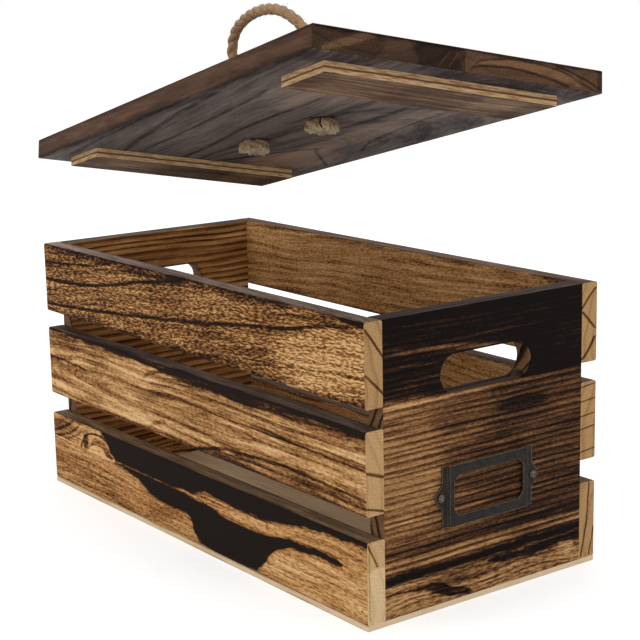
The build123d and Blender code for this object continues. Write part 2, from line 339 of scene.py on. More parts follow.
class WoodEffects:
    """The effects that all boards share, each a node group that is built once.

    Lengths are in millimetres, and a number that a place is multiplied with is the count
    of the noise's features in each millimetre.
    """

    def __init__(self) -> None:
        """Builds the groups."""
        self.faces = self.build_faces()
        self.arches = self.build_arches()
        self.eye = self.build_eye()
        self.rings = self.build_rings()
        self.streaks = self.build_streaks()
        self.flecks = self.build_flecks()
        self.line = self.build_line()
        self.patch = self.build_patch()
        self.band = self.build_band()
        self.scorch = self.build_scorch()
        self.end_rings = self.build_end_rings()

    @staticmethod
    def build_faces() -> Tree:
        """Builds masks of a board's outer, inner and end faces from its own normal.

        Returns:
            The group.
        """
        graph = GroupGraph("board_faces", ("Normal",), (), ("Outer", "Inner", "End"))
        along, _, out = graph.split(graph.given[0])
        tilted, facing = 0.35, 0.75
        ends = graph.step(abs(along), 0.6, 0.8)
        return graph.close(graph.step(out, tilted, facing), graph.step(-out, tilted, facing), ends)

    @staticmethod
    def build_arches() -> Tree:
        """Builds the field of nested arches that a flat-sawn board shows round its heart.

        Returns:
            The group.
        """
        graph = GroupGraph("grain_arches", ("Place", "Apex"), ("Opening", "Reach", "Spread"), ("Field",))
        place, apex, opening, reach, spread = graph.given
        along, across, _ = graph.split(place - apex)
        ahead = along * opening
        behind = graph.math("MAXIMUM", -ahead, 0.0)
        narrowed = across / (graph.math("MAXIMUM", ahead, 0.0) * spread + 1.0)
        return graph.close(graph.length(behind * reach, narrowed))

    @staticmethod
    def build_eye() -> Tree:
        """Builds the hill that makes the grain close in rings round a knot, and the knot's mask.

        Returns:
            The group.
        """
        graph = GroupGraph("grain_eye", ("Place", "Centre", "Size"), ("Lift",), ("Field", "Mask"))
        place, centre, size, lift = graph.given
        across, up, _ = graph.split((place - centre) / size)
        squares = across * across + up * up
        hill = graph.math("EXPONENT", -squares)
        return graph.close(hill * lift, graph.fall(squares, 0.02, 0.09))

    @staticmethod
    def build_rings() -> Tree:
        """Builds growth rings along a field: pale early wood that darkens to a sharp late line.

        Returns:
            The group.
        """
        graph = GroupGraph("growth_rings", (), ("Field", "Spacing", "Unevenness", "Seed"), ("Tone",))
        grain, spacing, unevenness, seed = graph.given
        early_tone, late_depth, weakest_ring = 0.6, 1.6, 0.4
        count = grain / spacing + seed
        uneven = count + graph.noise(graph.join(count * 0.31, seed), 1.0) * unevenness
        phase = graph.math("FRACT", uneven)
        late = graph.step(phase, 0.3, 0.82) * graph.fall(phase, 0.9, 1.0)
        number = graph.math("FLOOR", uneven) * 0.71
        strength = graph.step(graph.noise(graph.join(number, seed), 0.0), 0.3, 0.7, weakest_ring, 1.0)
        return graph.close((early_tone - late * late_depth) * strength)

    @staticmethod
    def build_streaks() -> Tree:
        """Builds long streaks of a given length and width, from -1 to 1.

        Returns:
            The group.
        """
        graph = GroupGraph("long_streaks", ("Place",), ("Length", "Width", "Seed"), ("Tone",))
        place, length, width, seed = graph.given
        moved = place / graph.join(length, width, width) + graph.join(seed, seed * 1.7, seed)
        return graph.close(graph.step(graph.noise(moved, 3.0, 0.6), 0.28, 0.72, -1.0, 1.0))

    @staticmethod
    def build_flecks() -> Tree:
        """Builds short dashes that lean one way and then the other, as the pores of burnt wood do.

        Returns:
            The group.
        """
        values = ("Length", "Width", "Slant", "Cover", "Seed")
        graph = GroupGraph("pore_flecks", ("Place",), values, ("Mask",))
        place, length, width, slant, cover, seed = graph.given
        along, across, deep = graph.split(place)
        sway_height, cell_share = 14.0, 0.62
        sway = graph.noise(graph.join(along * 0.16, across * 0.07, seed), 1.0)
        leaning = across + sway * sway_height * slant
        moved = graph.join(along / (length * cell_share) + seed, leaning / width + seed, deep / width)
        return graph.close(graph.step(graph.noise(moved, 1.6, 0.5) + cover, 0.44, 0.62))

    @staticmethod
    def build_line() -> Tree:
        """Builds the mask of one drawn line of the grain that fades at both ends.

        Returns:
            The group.
        """
        values = ("Level", "Start", "End", "Width", "Fade", "Seed")
        graph = GroupGraph("drawn_line", ("Place",), values, ("Mask",))
        place, level, start, end, width, fade, seed = graph.given
        along, across, _ = graph.split(place)
        ripple_height, core_share, faintest = 1.8, 0.2, 0.62
        ripple = graph.noise(graph.join(along * 0.07, seed), 2.0)
        off = across - level + (ripple - 0.5) * ripple_height
        strip = graph.fall(abs(off), width * core_share, width)
        ends = graph.step(along, start, start + fade) * graph.fall(along, end - fade, end)
        thin = graph.step(graph.noise(graph.join(along * 0.12, seed), 3.0), 0.3, 0.55, faintest, 1.0)
        return graph.close(strip * thin * ends)

    @staticmethod
    def build_patch() -> Tree:
        """Builds the mask of a ragged oval patch, long in the direction of the grain.

        Returns:
            The group.
        """
        values = ("Ragged", "Soft", "Floor", "Seed")
        graph = GroupGraph("ragged_patch", ("Place", "Centre", "Turn", "Size"), values, ("Mask",))
        place, centre, turn, size, ragged, soft, floor, seed = graph.given
        across, up, _ = graph.split(graph.place(place, centre, turn, size))
        along, high, _ = graph.split(place)
        edge, half_feather, floor_feather = 0.9, soft * 0.25, 0.6
        fibres = graph.noise(graph.join(along * 0.05, high * 0.22, seed), 3.0, 0.5)
        distance = graph.length(across, up) + (fibres - 0.5) * ragged
        mask = graph.fall(distance, edge - half_feather, edge + half_feather)
        return graph.close(mask * graph.step(high, floor, floor + floor_feather))

    @staticmethod
    def build_band() -> Tree:
        """Builds the mask of a stretch of the board between two drawn edges.

        Returns:
            The group.
        """
        values = ("Lower", "Upper", "Start", "End", "Feather", "Seed")
        graph = GroupGraph("drawn_band", ("Place",), values, ("Mask",))
        place, lower, upper, start, end, feather, seed = graph.given
        along, across, _ = graph.split(place)
        ripple_across, ripple_along, core_depth, halo_depth = 3.6, 14.0, 0.68, 0.32
        ripple = graph.noise(graph.join(along * 0.09, across * 0.12, seed), 4.0, 0.55) - 0.5
        moved = across + ripple * ripple_across
        nearest = graph.math("MINIMUM", moved - lower, upper - moved)
        core = graph.step(nearest, feather * -0.4, feather, 0.0, core_depth)
        halo = graph.step(nearest, feather * -2.4, feather * 1.2, 0.0, halo_depth)
        reach = feather * 3.0
        shifted = along + ripple * ripple_along
        ends = graph.step(shifted, start, start + reach) * graph.fall(shifted, end - reach, end)
        return graph.close((core + halo) * ends)

    @staticmethod
    def build_scorch() -> Tree:
        """Builds the darkening along a board's two long edges.

        Returns:
            The group.
        """
        graph = GroupGraph("edge_scorch", ("Place",), ("Low", "High", "Reach", "Seed"), ("Mask",))
        place, low, high, reach, seed = graph.given
        along, across, _ = graph.split(place)
        least, most = 0.15, 1.8
        nearest = graph.math("MINIMUM", across - low, high - across)
        uneven = graph.noise(graph.join(along * 0.035, across * 0.12, seed), 3.0)
        return graph.close(graph.fall(nearest, 0.0, reach * graph.step(uneven, 0.3, 0.7, least, most)))

    @staticmethod
    def build_end_rings() -> Tree:
        """Builds the curved ring lines and fine pores of end grain.

        Returns:
            The group.
        """
        graph = GroupGraph("end_grain_rings", ("Place", "Pith"), ("Spacing", "Seed"), ("Late", "Pores"))
        place, pith, spacing, seed = graph.given
        _, across, deep = graph.split(place - pith)
        slow_shift, fine_shift, pore_depth = 2.0, 0.6, 0.12
        count = graph.length(across, deep) / spacing + seed
        slow = graph.noise(graph.join(count * 0.4, seed), 1.0) * slow_shift
        uneven = count + slow + graph.noise(place * (0.0, 0.07, 0.07), 1.0) * fine_shift
        phase = graph.math("FRACT", uneven)
        late = graph.step(phase, 0.55, 0.93) * graph.fall(phase, 0.95, 1.0)
        pores = graph.noise(place * (0.4, 1.6, 1.6), 2.0, 0.7)
        return graph.close(late, graph.step(pores, 0.3, 0.7, -pore_depth, pore_depth))


class Side(Enum):
    """The face of a board that its drawn figure lies on."""

    OUTER = "outer"
    INNER = "inner"


@dataclass(frozen=True)
class Palette:
    """The colours of a face from its darkest char to its palest wood."""

    char: Colour
    dark: Colour
    middle: Colour
    light: Colour
    pale: Colour

    @classmethod
    def shown(cls, *colours: tuple[int, int, int]) -> "Palette":
        """Makes a palette of five colours as a screen shows them."""
        return cls(*(tint(*colour) for colour in colours))

    def stops(self) -> dict[float, Colour]:
        """Gives the colours their levels of tone."""
        return {0.0: self.char, 0.24: self.dark, 0.52: self.middle, 0.78: self.light, 1.0: self.pale}


@dataclass(frozen=True)
class Arches:
    """Nested arches of grain: where their tip is, and which way they open."""

    tip: Point
    opens_right: bool = True
    reach: float = 0.3
    spread: float = 0.003


@dataclass(frozen=True)
class Eye:
    """A knot that the grain flows round."""

    centre: Point
    size: Point
    lift: float
    dark: float = 0.5


@dataclass(frozen=True)
class Line:
    """A dark line of the grain, or a light one where its depth is negative."""

    points: tuple[Point, ...]
    width: float = 1.2
    depth: float = 0.35
    fade: float = 12.0


@dataclass(frozen=True)
class Patch:
    """A charred patch, a patch of painted shade, or a pale one where its depth is negative, that may stop at
    a floor.
    """

    centre: Point
    size: Point
    depth: float = 0.6
    turn: float = 0.0
    ragged: float = 1.2
    soft: float = 1.0
    floor: float = -1000.0


@dataclass(frozen=True)
class Band:
    """A charred stretch between two drawn edges, or a pale one where its depth is negative."""

    lower: tuple[Point, ...]
    upper: tuple[Point, ...]
    depth: float = 0.7
    feather: float = 1.6


@dataclass(frozen=True)
class Figure:
    """How one board has grown and burnt, and any shade painted on it, in millimetres along and across its
    face.
    """

    outer: Palette
    inner: Palette
    rim: Palette
    end: Palette
    seed: float
    tone: float = 0.55
    rise: float = 0.0
    sway: float = 2.0
    ring_spacing: float = 4.0
    ring_depth: float = 0.2
    ring_unevenness: float = 3.0
    streak_depth: float = 0.16
    cloud_depth: float = 0.1
    fleck_depth: float = 0.16
    fleck_slant: float = 0.12
    fleck_length: float = 4.6
    fleck_cover: float = 0.0
    scorch_depth: float = 0.3
    scorch_reach: float = 3.0
    pith: Point = (-14.0, 60.0)
    end_spacing: float = 8.0
    end_tone: float = 0.7
    end_depth: float = 0.6
    drawn_on: Side = Side.OUTER
    arches: Arches | None = None
    eyes: tuple[Eye, ...] = ()
    lines: tuple[Line, ...] = ()
    patches: tuple[Patch, ...] = ()
    bands: tuple[Band, ...] = ()
    end_lines: tuple[Line, ...] = ()
    end_bands: tuple[Band, ...] = ()


@dataclass(frozen=True)
class BoardAxes:
    """Where a board's own axes start and point: along the grain, across it and outwards."""

    start: Vector
    along: Vector
    across: Vector

    def angles(self) -> tuple[float, ...]:
        """Gives the turn from the board's axes to the frame's as XYZ angles."""
        turn = Matrix((self.along, self.across, self.along.cross(self.across))).transposed()
        return tuple(turn.to_euler("XYZ"))


@dataclass
class BoardFinish:
    """The finish of one board: torched and brushed wood with its own figure."""

    effects: WoodEffects
    name: str
    figure: Figure
    axes: BoardAxes
    low: float
    high: float
    thickness: float = 12.0
    roughness: Point = (0.72, 0.56)
    relief: float = 0.00035

    def build(self) -> Material:
        """Builds the material of the board.

        Returns:
            The material.
        """
        material = bpy.data.materials.new(self.name)
        graph = Graph.opened(material)
        turn = self.axes.angles()
        coordinates = graph.node("TexCoord")
        place = graph.place(graph.out(coordinates, "Object"), tuple(self.axes.start), turn, (MM, MM, MM))
        normal = graph.place(graph.out(coordinates, "Normal"), ORIGIN, turn, (1.0, 1.0, 1.0))
        outer, inner, end = graph.call(self.effects.faces, normal=normal)
        drawn = outer if self.figure.drawn_on is Side.OUTER else inner
        tone = self.long_grain(graph, place, drawn, outer + inner)
        graph.principled({
            "Base Color": self.face_colour(graph, place, (outer, inner, end), tone),
            "Specular IOR Level": 0.05,
            "Roughness": graph.step(tone, 0.1, 0.9, *self.roughness),
            "Normal": graph.bump(tone, 0.6, self.relief),
        })
        return material

    def face_colour(self, graph: Graph, place: Value, masks: tuple[Value, ...], tone: Value) -> Value:
        """Builds the colour of the faces, each from its own palette.

        Args:
            graph: The material's graph.
            place: The place in the board's own axes, in millimetres.
            masks: Masks of the outer, inner and end faces.
            tone: The tone of the long grain.

        Returns:
            The colour.
        """
        figure = self.figure
        outer, inner, end = masks
        pith = (0.0, (self.low + self.high) / 2 + figure.pith[0], figure.pith[1])
        late, pores = graph.call(
            self.effects.end_rings, place=place, pith=pith, spacing=figure.end_spacing, seed=figure.seed
        )
        _, across, deep = graph.split(place)
        end_tone = figure.end_tone - late * figure.end_depth + pores
        for mark in self.marks(graph, graph.join(across, deep), figure.end_lines, (), figure.end_bands):
            end_tone += mark
        colour = graph.ramp(tone, figure.rim.stops())
        colour = graph.mix(outer, colour, graph.ramp(tone, figure.outer.stops()))
        colour = graph.mix(inner, colour, graph.ramp(tone, figure.inner.stops()))
        return graph.mix(end, colour, graph.ramp(end_tone, figure.end.stops()))

    def long_grain(self, graph: Graph, place: Value, drawn: Value, broad: Value) -> Value:
        """Builds the tone of the long grain.

        Args:
            graph: The material's graph.
            place: The place in the board's own axes, in millimetres.
            drawn: The mask of the face that the drawn figure lies on.
            broad: The mask of both broad faces.

        Returns:
            The tone, from 0 for char to 1 for pale wood.
        """
        figure = self.figure
        depth_lean, mirror_shift, sway_height = 0.35, 0.35, 4 * figure.sway
        arris_depth, fine_share, rim_flecks = 0.24, 0.6, 0.2
        along, across, deep = graph.split(place)
        swaying = graph.noise(graph.join(along * 0.014, across * 0.03, figure.seed), 1.0)
        leaning = across - along * figure.rise
        unmirrored = deep
        if figure.arches:
            opening = 1.0 if figure.arches.opens_right else -1.0
            leaning, = graph.call(
                self.effects.arches, place=graph.join(along, leaning), apex=(*figure.arches.tip, 0.0),
                opening=opening, reach=figure.arches.reach, spread=figure.arches.spread,
            )
            unmirrored = across * mirror_shift + deep
        grain = leaning + (swaying - 0.5) * sway_height + deep * depth_lean
        marks = []
        for eye in figure.eyes:
            hill, pupil = graph.call(
                self.effects.eye, place=place, centre=(*eye.centre, 0.0), size=(*eye.size, 1.0), lift=eye.lift
            )
            grain += hill * drawn
            marks.append(pupil * -eye.dark)
        marks += self.marks(graph, place, figure.lines, figure.patches, figure.bands)
        rings, = graph.call(
            self.effects.rings, field=grain, spacing=figure.ring_spacing,
            unevenness=figure.ring_unevenness, seed=figure.seed,
        )
        warped = graph.join(along, grain, unmirrored)
        coarse, fine, clouds = (
            graph.call(self.effects.streaks, place=warped, length=length, width=width, seed=seed)[0]
            for length, width, seed in (
                (46.0, 2.2, figure.seed), (14.0, 0.55, figure.seed + 4), (70.0, 16.0, figure.seed + 9)
            )
        )
        flecks, = graph.call(
            self.effects.flecks, place=warped, length=figure.fleck_length, width=1.0,
            slant=figure.fleck_slant, cover=figure.fleck_cover, seed=figure.seed,
        )
        scorch, = graph.call(
            self.effects.scorch, place=place, low=self.low, high=self.high, reach=figure.scorch_reach,
            seed=figure.seed,
        )
        nearest = graph.math("MINIMUM", -deep, deep + self.thickness)
        arris = graph.fall(nearest, 0.0, graph.step(swaying, 0.35, 0.65, 1.2, 4.0))
        tone = (
            figure.tone - arris * (1.0 - broad) * arris_depth
            + rings * figure.ring_depth
            + coarse * figure.streak_depth
            + fine * (fine_share * figure.streak_depth)
            + clouds * figure.cloud_depth
            - flecks * (broad * (1 - rim_flecks) + rim_flecks) * figure.fleck_depth
            - scorch * broad * figure.scorch_depth
        )
        if marks:
            tone += sum(marks[1:], marks[0]) * drawn
        return graph.math("MAXIMUM", graph.math("MINIMUM", tone, 1.0), 0.0)

    def marks(self, graph: Graph, place: Value, lines: tuple[Line, ...], patches: tuple[Patch, ...],
              bands: tuple[Band, ...]) -> list[Value]:
        """Builds what the drawn marks take from the tone.

        Args:
            graph: The material's graph.
            place: The place on the face, in the board's own axes.
            lines: The lines drawn there.
            patches: The patches.
            bands: The bands.

        Returns:
            The change of tone by each mark.
        """
        along, seed = graph.split(place)[0], self.figure.seed
        marks = []
        for line in lines:
            start, end = line.points[0][0] - line.fade / 2, line.points[-1][0] + line.fade / 2
            mask, = graph.call(
                self.effects.line, place=place, level=graph.curve(along, line.points), start=start, end=end,
                width=line.width, fade=line.fade, seed=seed,
            )
            marks.append(mask * -line.depth)
        for patch in patches:
            mask, = graph.call(
                self.effects.patch, place=place, centre=(*patch.centre, 0.0),
                turn=(0.0, 0.0, math.radians(patch.turn)), size=(*patch.size, 1.0), ragged=patch.ragged,
                soft=patch.soft, floor=patch.floor, seed=seed,
            )
            marks.append(mask * -patch.depth)
        for band in bands:
            mask, = graph.call(
                self.effects.band, place=place, lower=graph.curve(along, band.lower),
                upper=graph.curve(along, band.upper), start=band.lower[0][0], end=band.lower[-1][0],
                feather=band.feather, seed=seed,
            )
            marks.append(mask * -band.depth)
        return marks


GOLD = Palette.shown((27, 19, 15), (92, 56, 27), (158, 109, 60), (202, 154, 98), (228, 188, 134))
BROWN = Palette.shown((26, 16, 11), (70, 41, 19), (126, 84, 45), (182, 134, 80), (218, 174, 120))
STRAW = Palette.shown((30, 20, 14), (86, 52, 27), (152, 107, 62), (200, 155, 101), (226, 188, 138))
RUST = Palette.shown((17, 12, 10), (50, 31, 20), (103, 69, 42), (164, 120, 76), (200, 156, 106))
AMBER = Palette.shown((34, 22, 15), (92, 60, 34), (158, 113, 68), (198, 153, 100), (222, 184, 134))
TAUPE = Palette.shown((34, 25, 21), (68, 52, 43), (120, 99, 87), (150, 127, 113), (176, 154, 138))
SOOT = Palette.shown((24, 18, 16), (42, 32, 26), (66, 52, 43), (92, 74, 60), (120, 98, 80))
HAZEL = Palette.shown((30, 22, 17), (56, 41, 30), (88, 67, 49), (116, 91, 66), (150, 122, 92))
SMOKE = Palette.shown((32, 27, 26), (62, 54, 53), (106, 96, 92), (148, 127, 111), (170, 144, 120))
UMBER = Palette.shown((26, 18, 15), (52, 35, 27), (80, 57, 44), (108, 79, 60), (138, 106, 80))
CLAY = Palette.shown((38, 28, 24), (70, 52, 42), (106, 82, 66), (150, 120, 92), (184, 154, 122))
CREAM = Palette.shown((120, 92, 66), (176, 146, 110), (214, 188, 152), (228, 206, 172), (240, 224, 198))
END_PALE = Palette.shown((46, 29, 16), (90, 58, 32), (150, 112, 70), (196, 158, 110), (230, 204, 162))
END_DARK = Palette.shown((24, 17, 14), (46, 32, 25), (83, 60, 44), (136, 100, 68), (174, 136, 98))

FRONT_FIGURES = {
    "top": Figure(
        BROWN, AMBER, TAUPE, END_PALE, seed=3.0, tone=0.72, rise=0.09, ring_spacing=6.5, ring_depth=0.06,
        streak_depth=0.2, fleck_depth=0.46, fleck_slant=0.22, fleck_length=6.2, fleck_cover=0.035,
        end_tone=0.66, end_depth=0.1,
        lines=(
            Line(((-160, 142.3), (-100, 148), (-75, 152)), 1.4, 0.45),
            Line(((-160, 132), (-118, 133.8), (-81, 138.5), (-43, 145.4), (0, 151.6)), 1.5, 0.62),
            Line(((-160, 116.3), (-112, 119.4), (-75, 122.5), (-37, 126), (0, 129.6), (35, 133.5),
                  (60, 137.3), (98, 141.3), (123, 146.6), (148, 149.8)), 1.5, 0.62),
            Line(((10, 114), (60, 116.6), (85, 119.8), (110, 122.9), (159, 126.6)), 1.0, 0.3),
        ),
        patches=(
            Patch((140, 130), (60, 19), -0.26, 6, 0.8),
            Patch((156, 154), (14, 3.5), 0.8),
            Patch((-20, 152), (120, 3), 0.25),
            Patch((-135, 142), (34, 14), 0.1, 0, 0.8),
            Patch((-30, 112), (80, 5), 0.12, 0, 0.8),
        ),
        end_lines=(
            Line(((134, -13), (142, -7), (151, 0)), 1.3, 0.5, 1),
            Line(((116, -13), (121, -8), (129, 0)), 1.6, 0.45, 1),
        ),
    ),
    "middle": Figure(
        STRAW, AMBER, SOOT, END_PALE, seed=11.0, tone=0.66, ring_spacing=5.2, ring_depth=0.19,
        fleck_depth=0.2, streak_depth=0.22, scorch_depth=0.25, end_tone=0.74, end_depth=0.08,
        arches=Arches((-50, 77), True, 0.08, 0.001),
        lines=(
            Line(((-160, 83), (-136, 82.4), (-112, 81)), 1.0, 0.45),
            Line(((-45, 89), (-38, 93.4), (-24, 96.6), (0, 99)), 1.9, 0.42, 10.0),
            Line(((-42, 60), (-34, 64.5), (-22, 68)), 2.0, 0.25, 9.0),
            Line(((20, 83), (90, 82.5), (160, 81.5)), 1.0, 0.45),
            Line(((8, 59), (22, 62), (40, 65.6), (62, 67), (90, 68.4), (130, 67.4), (162, 66.4)), 1.5, 0.55),
        ),
        patches=(
            Patch((-62, 64), (34, 4), -0.2, 0, 0.8),
            Patch((-60, 91), (34, 5), -0.2, 0, 0.8),
            Patch((-140, 94), (30, 4), 0.16, 0, 1.0),
            Patch((-136, 65), (30, 4), -0.14, 0, 0.8),
            Patch((-138, 86), (30, 2.6), -0.16, 0, 0.8),
            Patch((-118, 78), (46, 22), 0.08, 0, 0.6),
        ),
        bands=(
            Band(((-162, 99.8), (-100, 98.8), (-40, 97.6), (0, 94.6), (40, 94.2), (84, 96.8), (164, 98)),
                 ((-162, 104), (0, 104), (164, 104)), 0.62, 1.4),
            Band(((20, 96), (90, 93), (166, 92)), ((20, 104), (90, 104), (166, 104)), 0.2, 1.4),
            Band(((8, 55), (60, 55), (172, 55)),
                 ((8, 58), (30, 62.5), (60, 66), (90, 67.4), (130, 66.4), (172, 65)), 0.26, 0.9),
        ),
        end_lines=(Line(((76, -13), (81, 1)), 4.0, 0.5, 1), Line(((59, -13), (63, 1)), 3.4, 0.5, 1)),
    ),
    "bottom": Figure(
        GOLD, AMBER, HAZEL, END_PALE, seed=23.0, tone=0.72, ring_spacing=5.0, ring_depth=0.07,
        fleck_depth=0.26, fleck_length=6.0, streak_depth=0.2, scorch_depth=0.12, end_tone=0.8, end_depth=0.06,
        lines=(
            Line(((-160, 34), (-148, 38), (-134, 45)), 1.6, 0.42, 6),
            Line(((-156, 31.5), (-140, 36), (-126, 44)), 1.6, 0.42, 6),
            Line(((-146, 31.5), (-134, 35), (-124, 40)), 1.2, 0.3, 6),
            Line(((-160, 30.5), (-100, 30.4), (-50, 30.5), (20, 30.8)), 0.7, -0.3, 6),
            Line(((4, 36.4), (40, 35), (70, 35.8)), 1.2, -0.2),
            Line(((20, 33.6), (60, 33), (100, 34.5)), 1.0, -0.2),
        ),
        patches=(
            Patch((-122, 12), (50, 14), 0.09, 0, 0.8),
            Patch((-103, 30), (27, 16), -0.16, 0, 0.15, 0.4, 30),
            Patch((-103, 30), (25, 14.6), 0.5, 0, 0.15, 0.12, 30),
            Patch((-103, 30), (22.6, 12.8), -0.5, 0, 0.15, 0.12, 30),
            Patch((-101, 30), (16, 10), 0.46, 0, 0.2, 0.5, 30),
            Patch((-104, 30), (12, 6), -0.56, 0, 0.15, 0.2, 30),
            Patch((-118.5, 34.6), (3.4, 5.4), 0.66, -24, 0.2, 1.4),
            Patch((-146, 41), (16, 5), 0.2, 12, 0.8),
            Patch((-70, 14), (60, 9), 0.12, 0, 1.0),
            Patch((120, 15), (60, 12), -0.12, 0, 0.8),
        ),
        bands=(
            Band(((-100, 45), (-92, 41.4), (-80, 31.2), (0, 31.4), (18, 36), (45, 34.4), (70, 35), (90, 37),
                  (112, 40.4), (176, 43.6)),
                 ((-100, 50), (0, 50), (176, 50)), 0.95, 1.0),
            Band(((2, 31.2), (40, 32), (80, 33.6)), ((2, 40), (40, 38), (80, 37)), 0.28, 1.0),
            Band(((-86, 29), (-62, 27), (-50, 23.4), (-36, 19.4), (-18, 18), (-4, 19), (4, 9), (16, 4),
                  (58, 3.4), (68, 7), (78, 16.5), (90, 23), (104, 26.4), (140, 27)),
                 ((-86, 30), (0, 29.6), (22, 28.6), (34, 26.4), (58, 25.6), (80, 27.8), (102, 30.6),
                  (140, 30.6)), 0.92, 1.0),
        ),
        end_lines=(
            Line(((32, -6.5), (38, -3.6), (45, 0)), 1.0, 0.45, 1),
            Line(((5, -1.4), (20, -1.2), (46, -1.6)), 0.7, 0.2, 1),
        ),
        end_bands=(Band(((0, -20), (31, -20)), ((0, 5), (31, 5)), -0.12, 0.3),),
    ),
}


def back_slat(outer: Palette, seed: float, tone: float, rise: float, **drawn: object) -> Figure:
    """Gives the figure of a back slat, which has burnt as the other two have.

    Args:
        outer: The palette of its outer face.
        seed: What its grain starts from.
        tone: Its mean tone.
        rise: How steeply its grain rises.
        drawn: What is drawn on it.

    Returns:
        The figure.
    """
    return Figure(
        outer, AMBER, UMBER, END_PALE, seed=seed, tone=tone, rise=rise, ring_spacing=5.0, ring_depth=0.14,
        fleck_depth=0.24, scorch_depth=0.26, end_tone=0.66, end_depth=0.1, **drawn,
    )


BACK_FIGURES = {
    "top": back_slat(
        BROWN, 31.0, 0.68, -0.05,
        lines=(Line(((-150, 144), (-60, 136), (30, 133), (150, 122)), 1.4, 0.5),),
        bands=(Band(((-20, 146), (60, 143), (170, 145)), ((-20, 160), (60, 160), (170, 160)), 0.6, 1.2),),
        end_lines=(
            Line(((140, -12), (151, -1)), 1.4, 0.5, 1),
            Line(((129, -1), (134, -6), (139, -11)), 1.5, 0.5, 1),
            Line(((113, -11), (118, -6), (125, -1)), 1.8, 0.5, 1),
        ),
    ),
    "middle": back_slat(
        STRAW, 37.0, 0.7, 0.03,
        eyes=(Eye((40, 80), (30, 11), 20.0, 0.4),),
        lines=(Line(((-160, 70), (-60, 73), (-10, 68)), 1.2, 0.4), Line(((90, 86), (160, 88)), 1.2, 0.4)),
        bands=(Band(((-170, 98.5), (0, 98), (100, 99)), ((-170, 105), (0, 105), (100, 105)), 0.6, 1.0),),
        end_lines=tuple(
            Line(((level, -13), (level + 1.5, 1)), 7.0, 0.42, 1) for level in (62.5, 75, 82, 90, 98)
        ),
    ),
    "bottom": back_slat(
        GOLD, 43.0, 0.7, -0.02,
        lines=(Line(((-160, 36), (-40, 33), (60, 36), (160, 34)), 1.3, 0.4),),
        bands=(
            Band(((-110, 20), (-60, 9), (0, 8), (30, 18)),
                 ((-110, 22), (-60, 26), (0, 27), (30, 20)), 0.64, 1.2),
        ),
        end_lines=(
            Line(((4, -9.5), (20, -6.4), (34, -4.6), (46, -4)), 0.9, 0.5, 1),
            Line(((4, -3.6), (12, -1.6), (20, -0.4)), 0.8, 0.5, 1),
        ),
    ),
}
END_FIGURES = {
    "right_upper": Figure(
        RUST, AMBER, SOOT, END_DARK, seed=51.0, tone=0.48, sway=0.5, ring_spacing=3.25, ring_depth=0.27,
        ring_unevenness=1.3, streak_depth=0.15, cloud_depth=0.06, fleck_depth=0.14, scorch_depth=0.1,
        lines=(
            Line(((-66, 136.8), (-40, 135.8), (-15, 133.6), (4, 131.8)), 2.4, -0.36),
            Line(((-4, 131.8), (30, 131), (66, 130.6)), 0.7, -0.2),
            Line(((-66, 130.5), (-44, 128.6), (-24, 125)), 0.9, -0.14),
            Line(((-66, 110.6), (-44, 110), (-22, 108.6)), 2.2, -0.2),
            Line(((-66, 19.8), (0, 20.2), (66, 20)), 0.8, -0.3),
        ),
        patches=(
            Patch((24, 98), (20, 4), 0.24, 0, 0.6),
            Patch((-70, 78), (46, 50), -0.2, 0, 0.5),
            Patch((44, 70), (60, 52), 0.13, 0, 0.5),
            Patch((60, 140), (50, 34), 0.1, 0, 0.5),
        ),
        bands=(
            Band(((-78, 112), (-20, 112.4), (20, 111), (78, 110.4)),
                 ((-78, 164), (0, 164), (78, 164)), 0.47, 0.8),
            Band(((-78, 20.8), (0, 20.8), (78, 20.6)), ((-78, 25.2), (0, 24.6), (78, 25)), 0.5, 0.6),
            Band(((-78, 26.8), (0, 26.4), (78, 26.6)), ((-78, 32.8), (0, 31.8), (78, 31)), -0.16, 0.7),
            Band(((-78, 33.4), (0, 33), (78, 32)), ((-78, 36.6), (0, 37), (78, 37.6)), 0.22, 0.6),
        ),
    ),
    "right_lower": Figure(
        RUST, AMBER, SOOT, END_DARK, seed=57.0, tone=0.72, sway=3.0, ring_spacing=3.0, ring_depth=0.16,
        fleck_depth=0.28, fleck_length=7.0, fleck_slant=0.16, scorch_depth=0.1, streak_depth=0.2,
        patches=(Patch((-60, 10), (30, 9), -0.14, 0, 0.8), Patch((57, 12), (7, 4), -0.3, 0, 0.6)),
        bands=(
            Band(((0, 17.5), (16, 15), (40, 14.6), (50, 16), (78, 11.6)),
                 ((0, 18.6), (40, 19.4), (78, 20.4)), 0.66, 0.6),
            Band(((-80, 14.4), (-46, 13.6), (-34, 9), (-22, 5), (-10, 4)),
                 ((-80, 15.6), (-46, 15.4), (-34, 14.4), (-22, 10), (-10, 6)), 0.6, 0.6),
        ),
    ),
    "left_upper": Figure(
        RUST, BROWN, SOOT, END_DARK, seed=61.0, tone=0.58, sway=1.2, ring_spacing=4.4, ring_depth=0.32,
        ring_unevenness=1.6, streak_depth=0.14, fleck_depth=0.06, scorch_depth=0.14,
        bands=(Band(((-78, 128), (-20, 132), (78, 124)), ((-78, 164), (0, 164), (78, 164)), 0.42, 1.2),),
    ),
    "left_lower": Figure(
        RUST, BROWN, SOOT, END_DARK, seed=67.0, tone=0.66, sway=2.4, ring_spacing=3.4, ring_depth=0.3,
        scorch_depth=0.2,
    ),
}
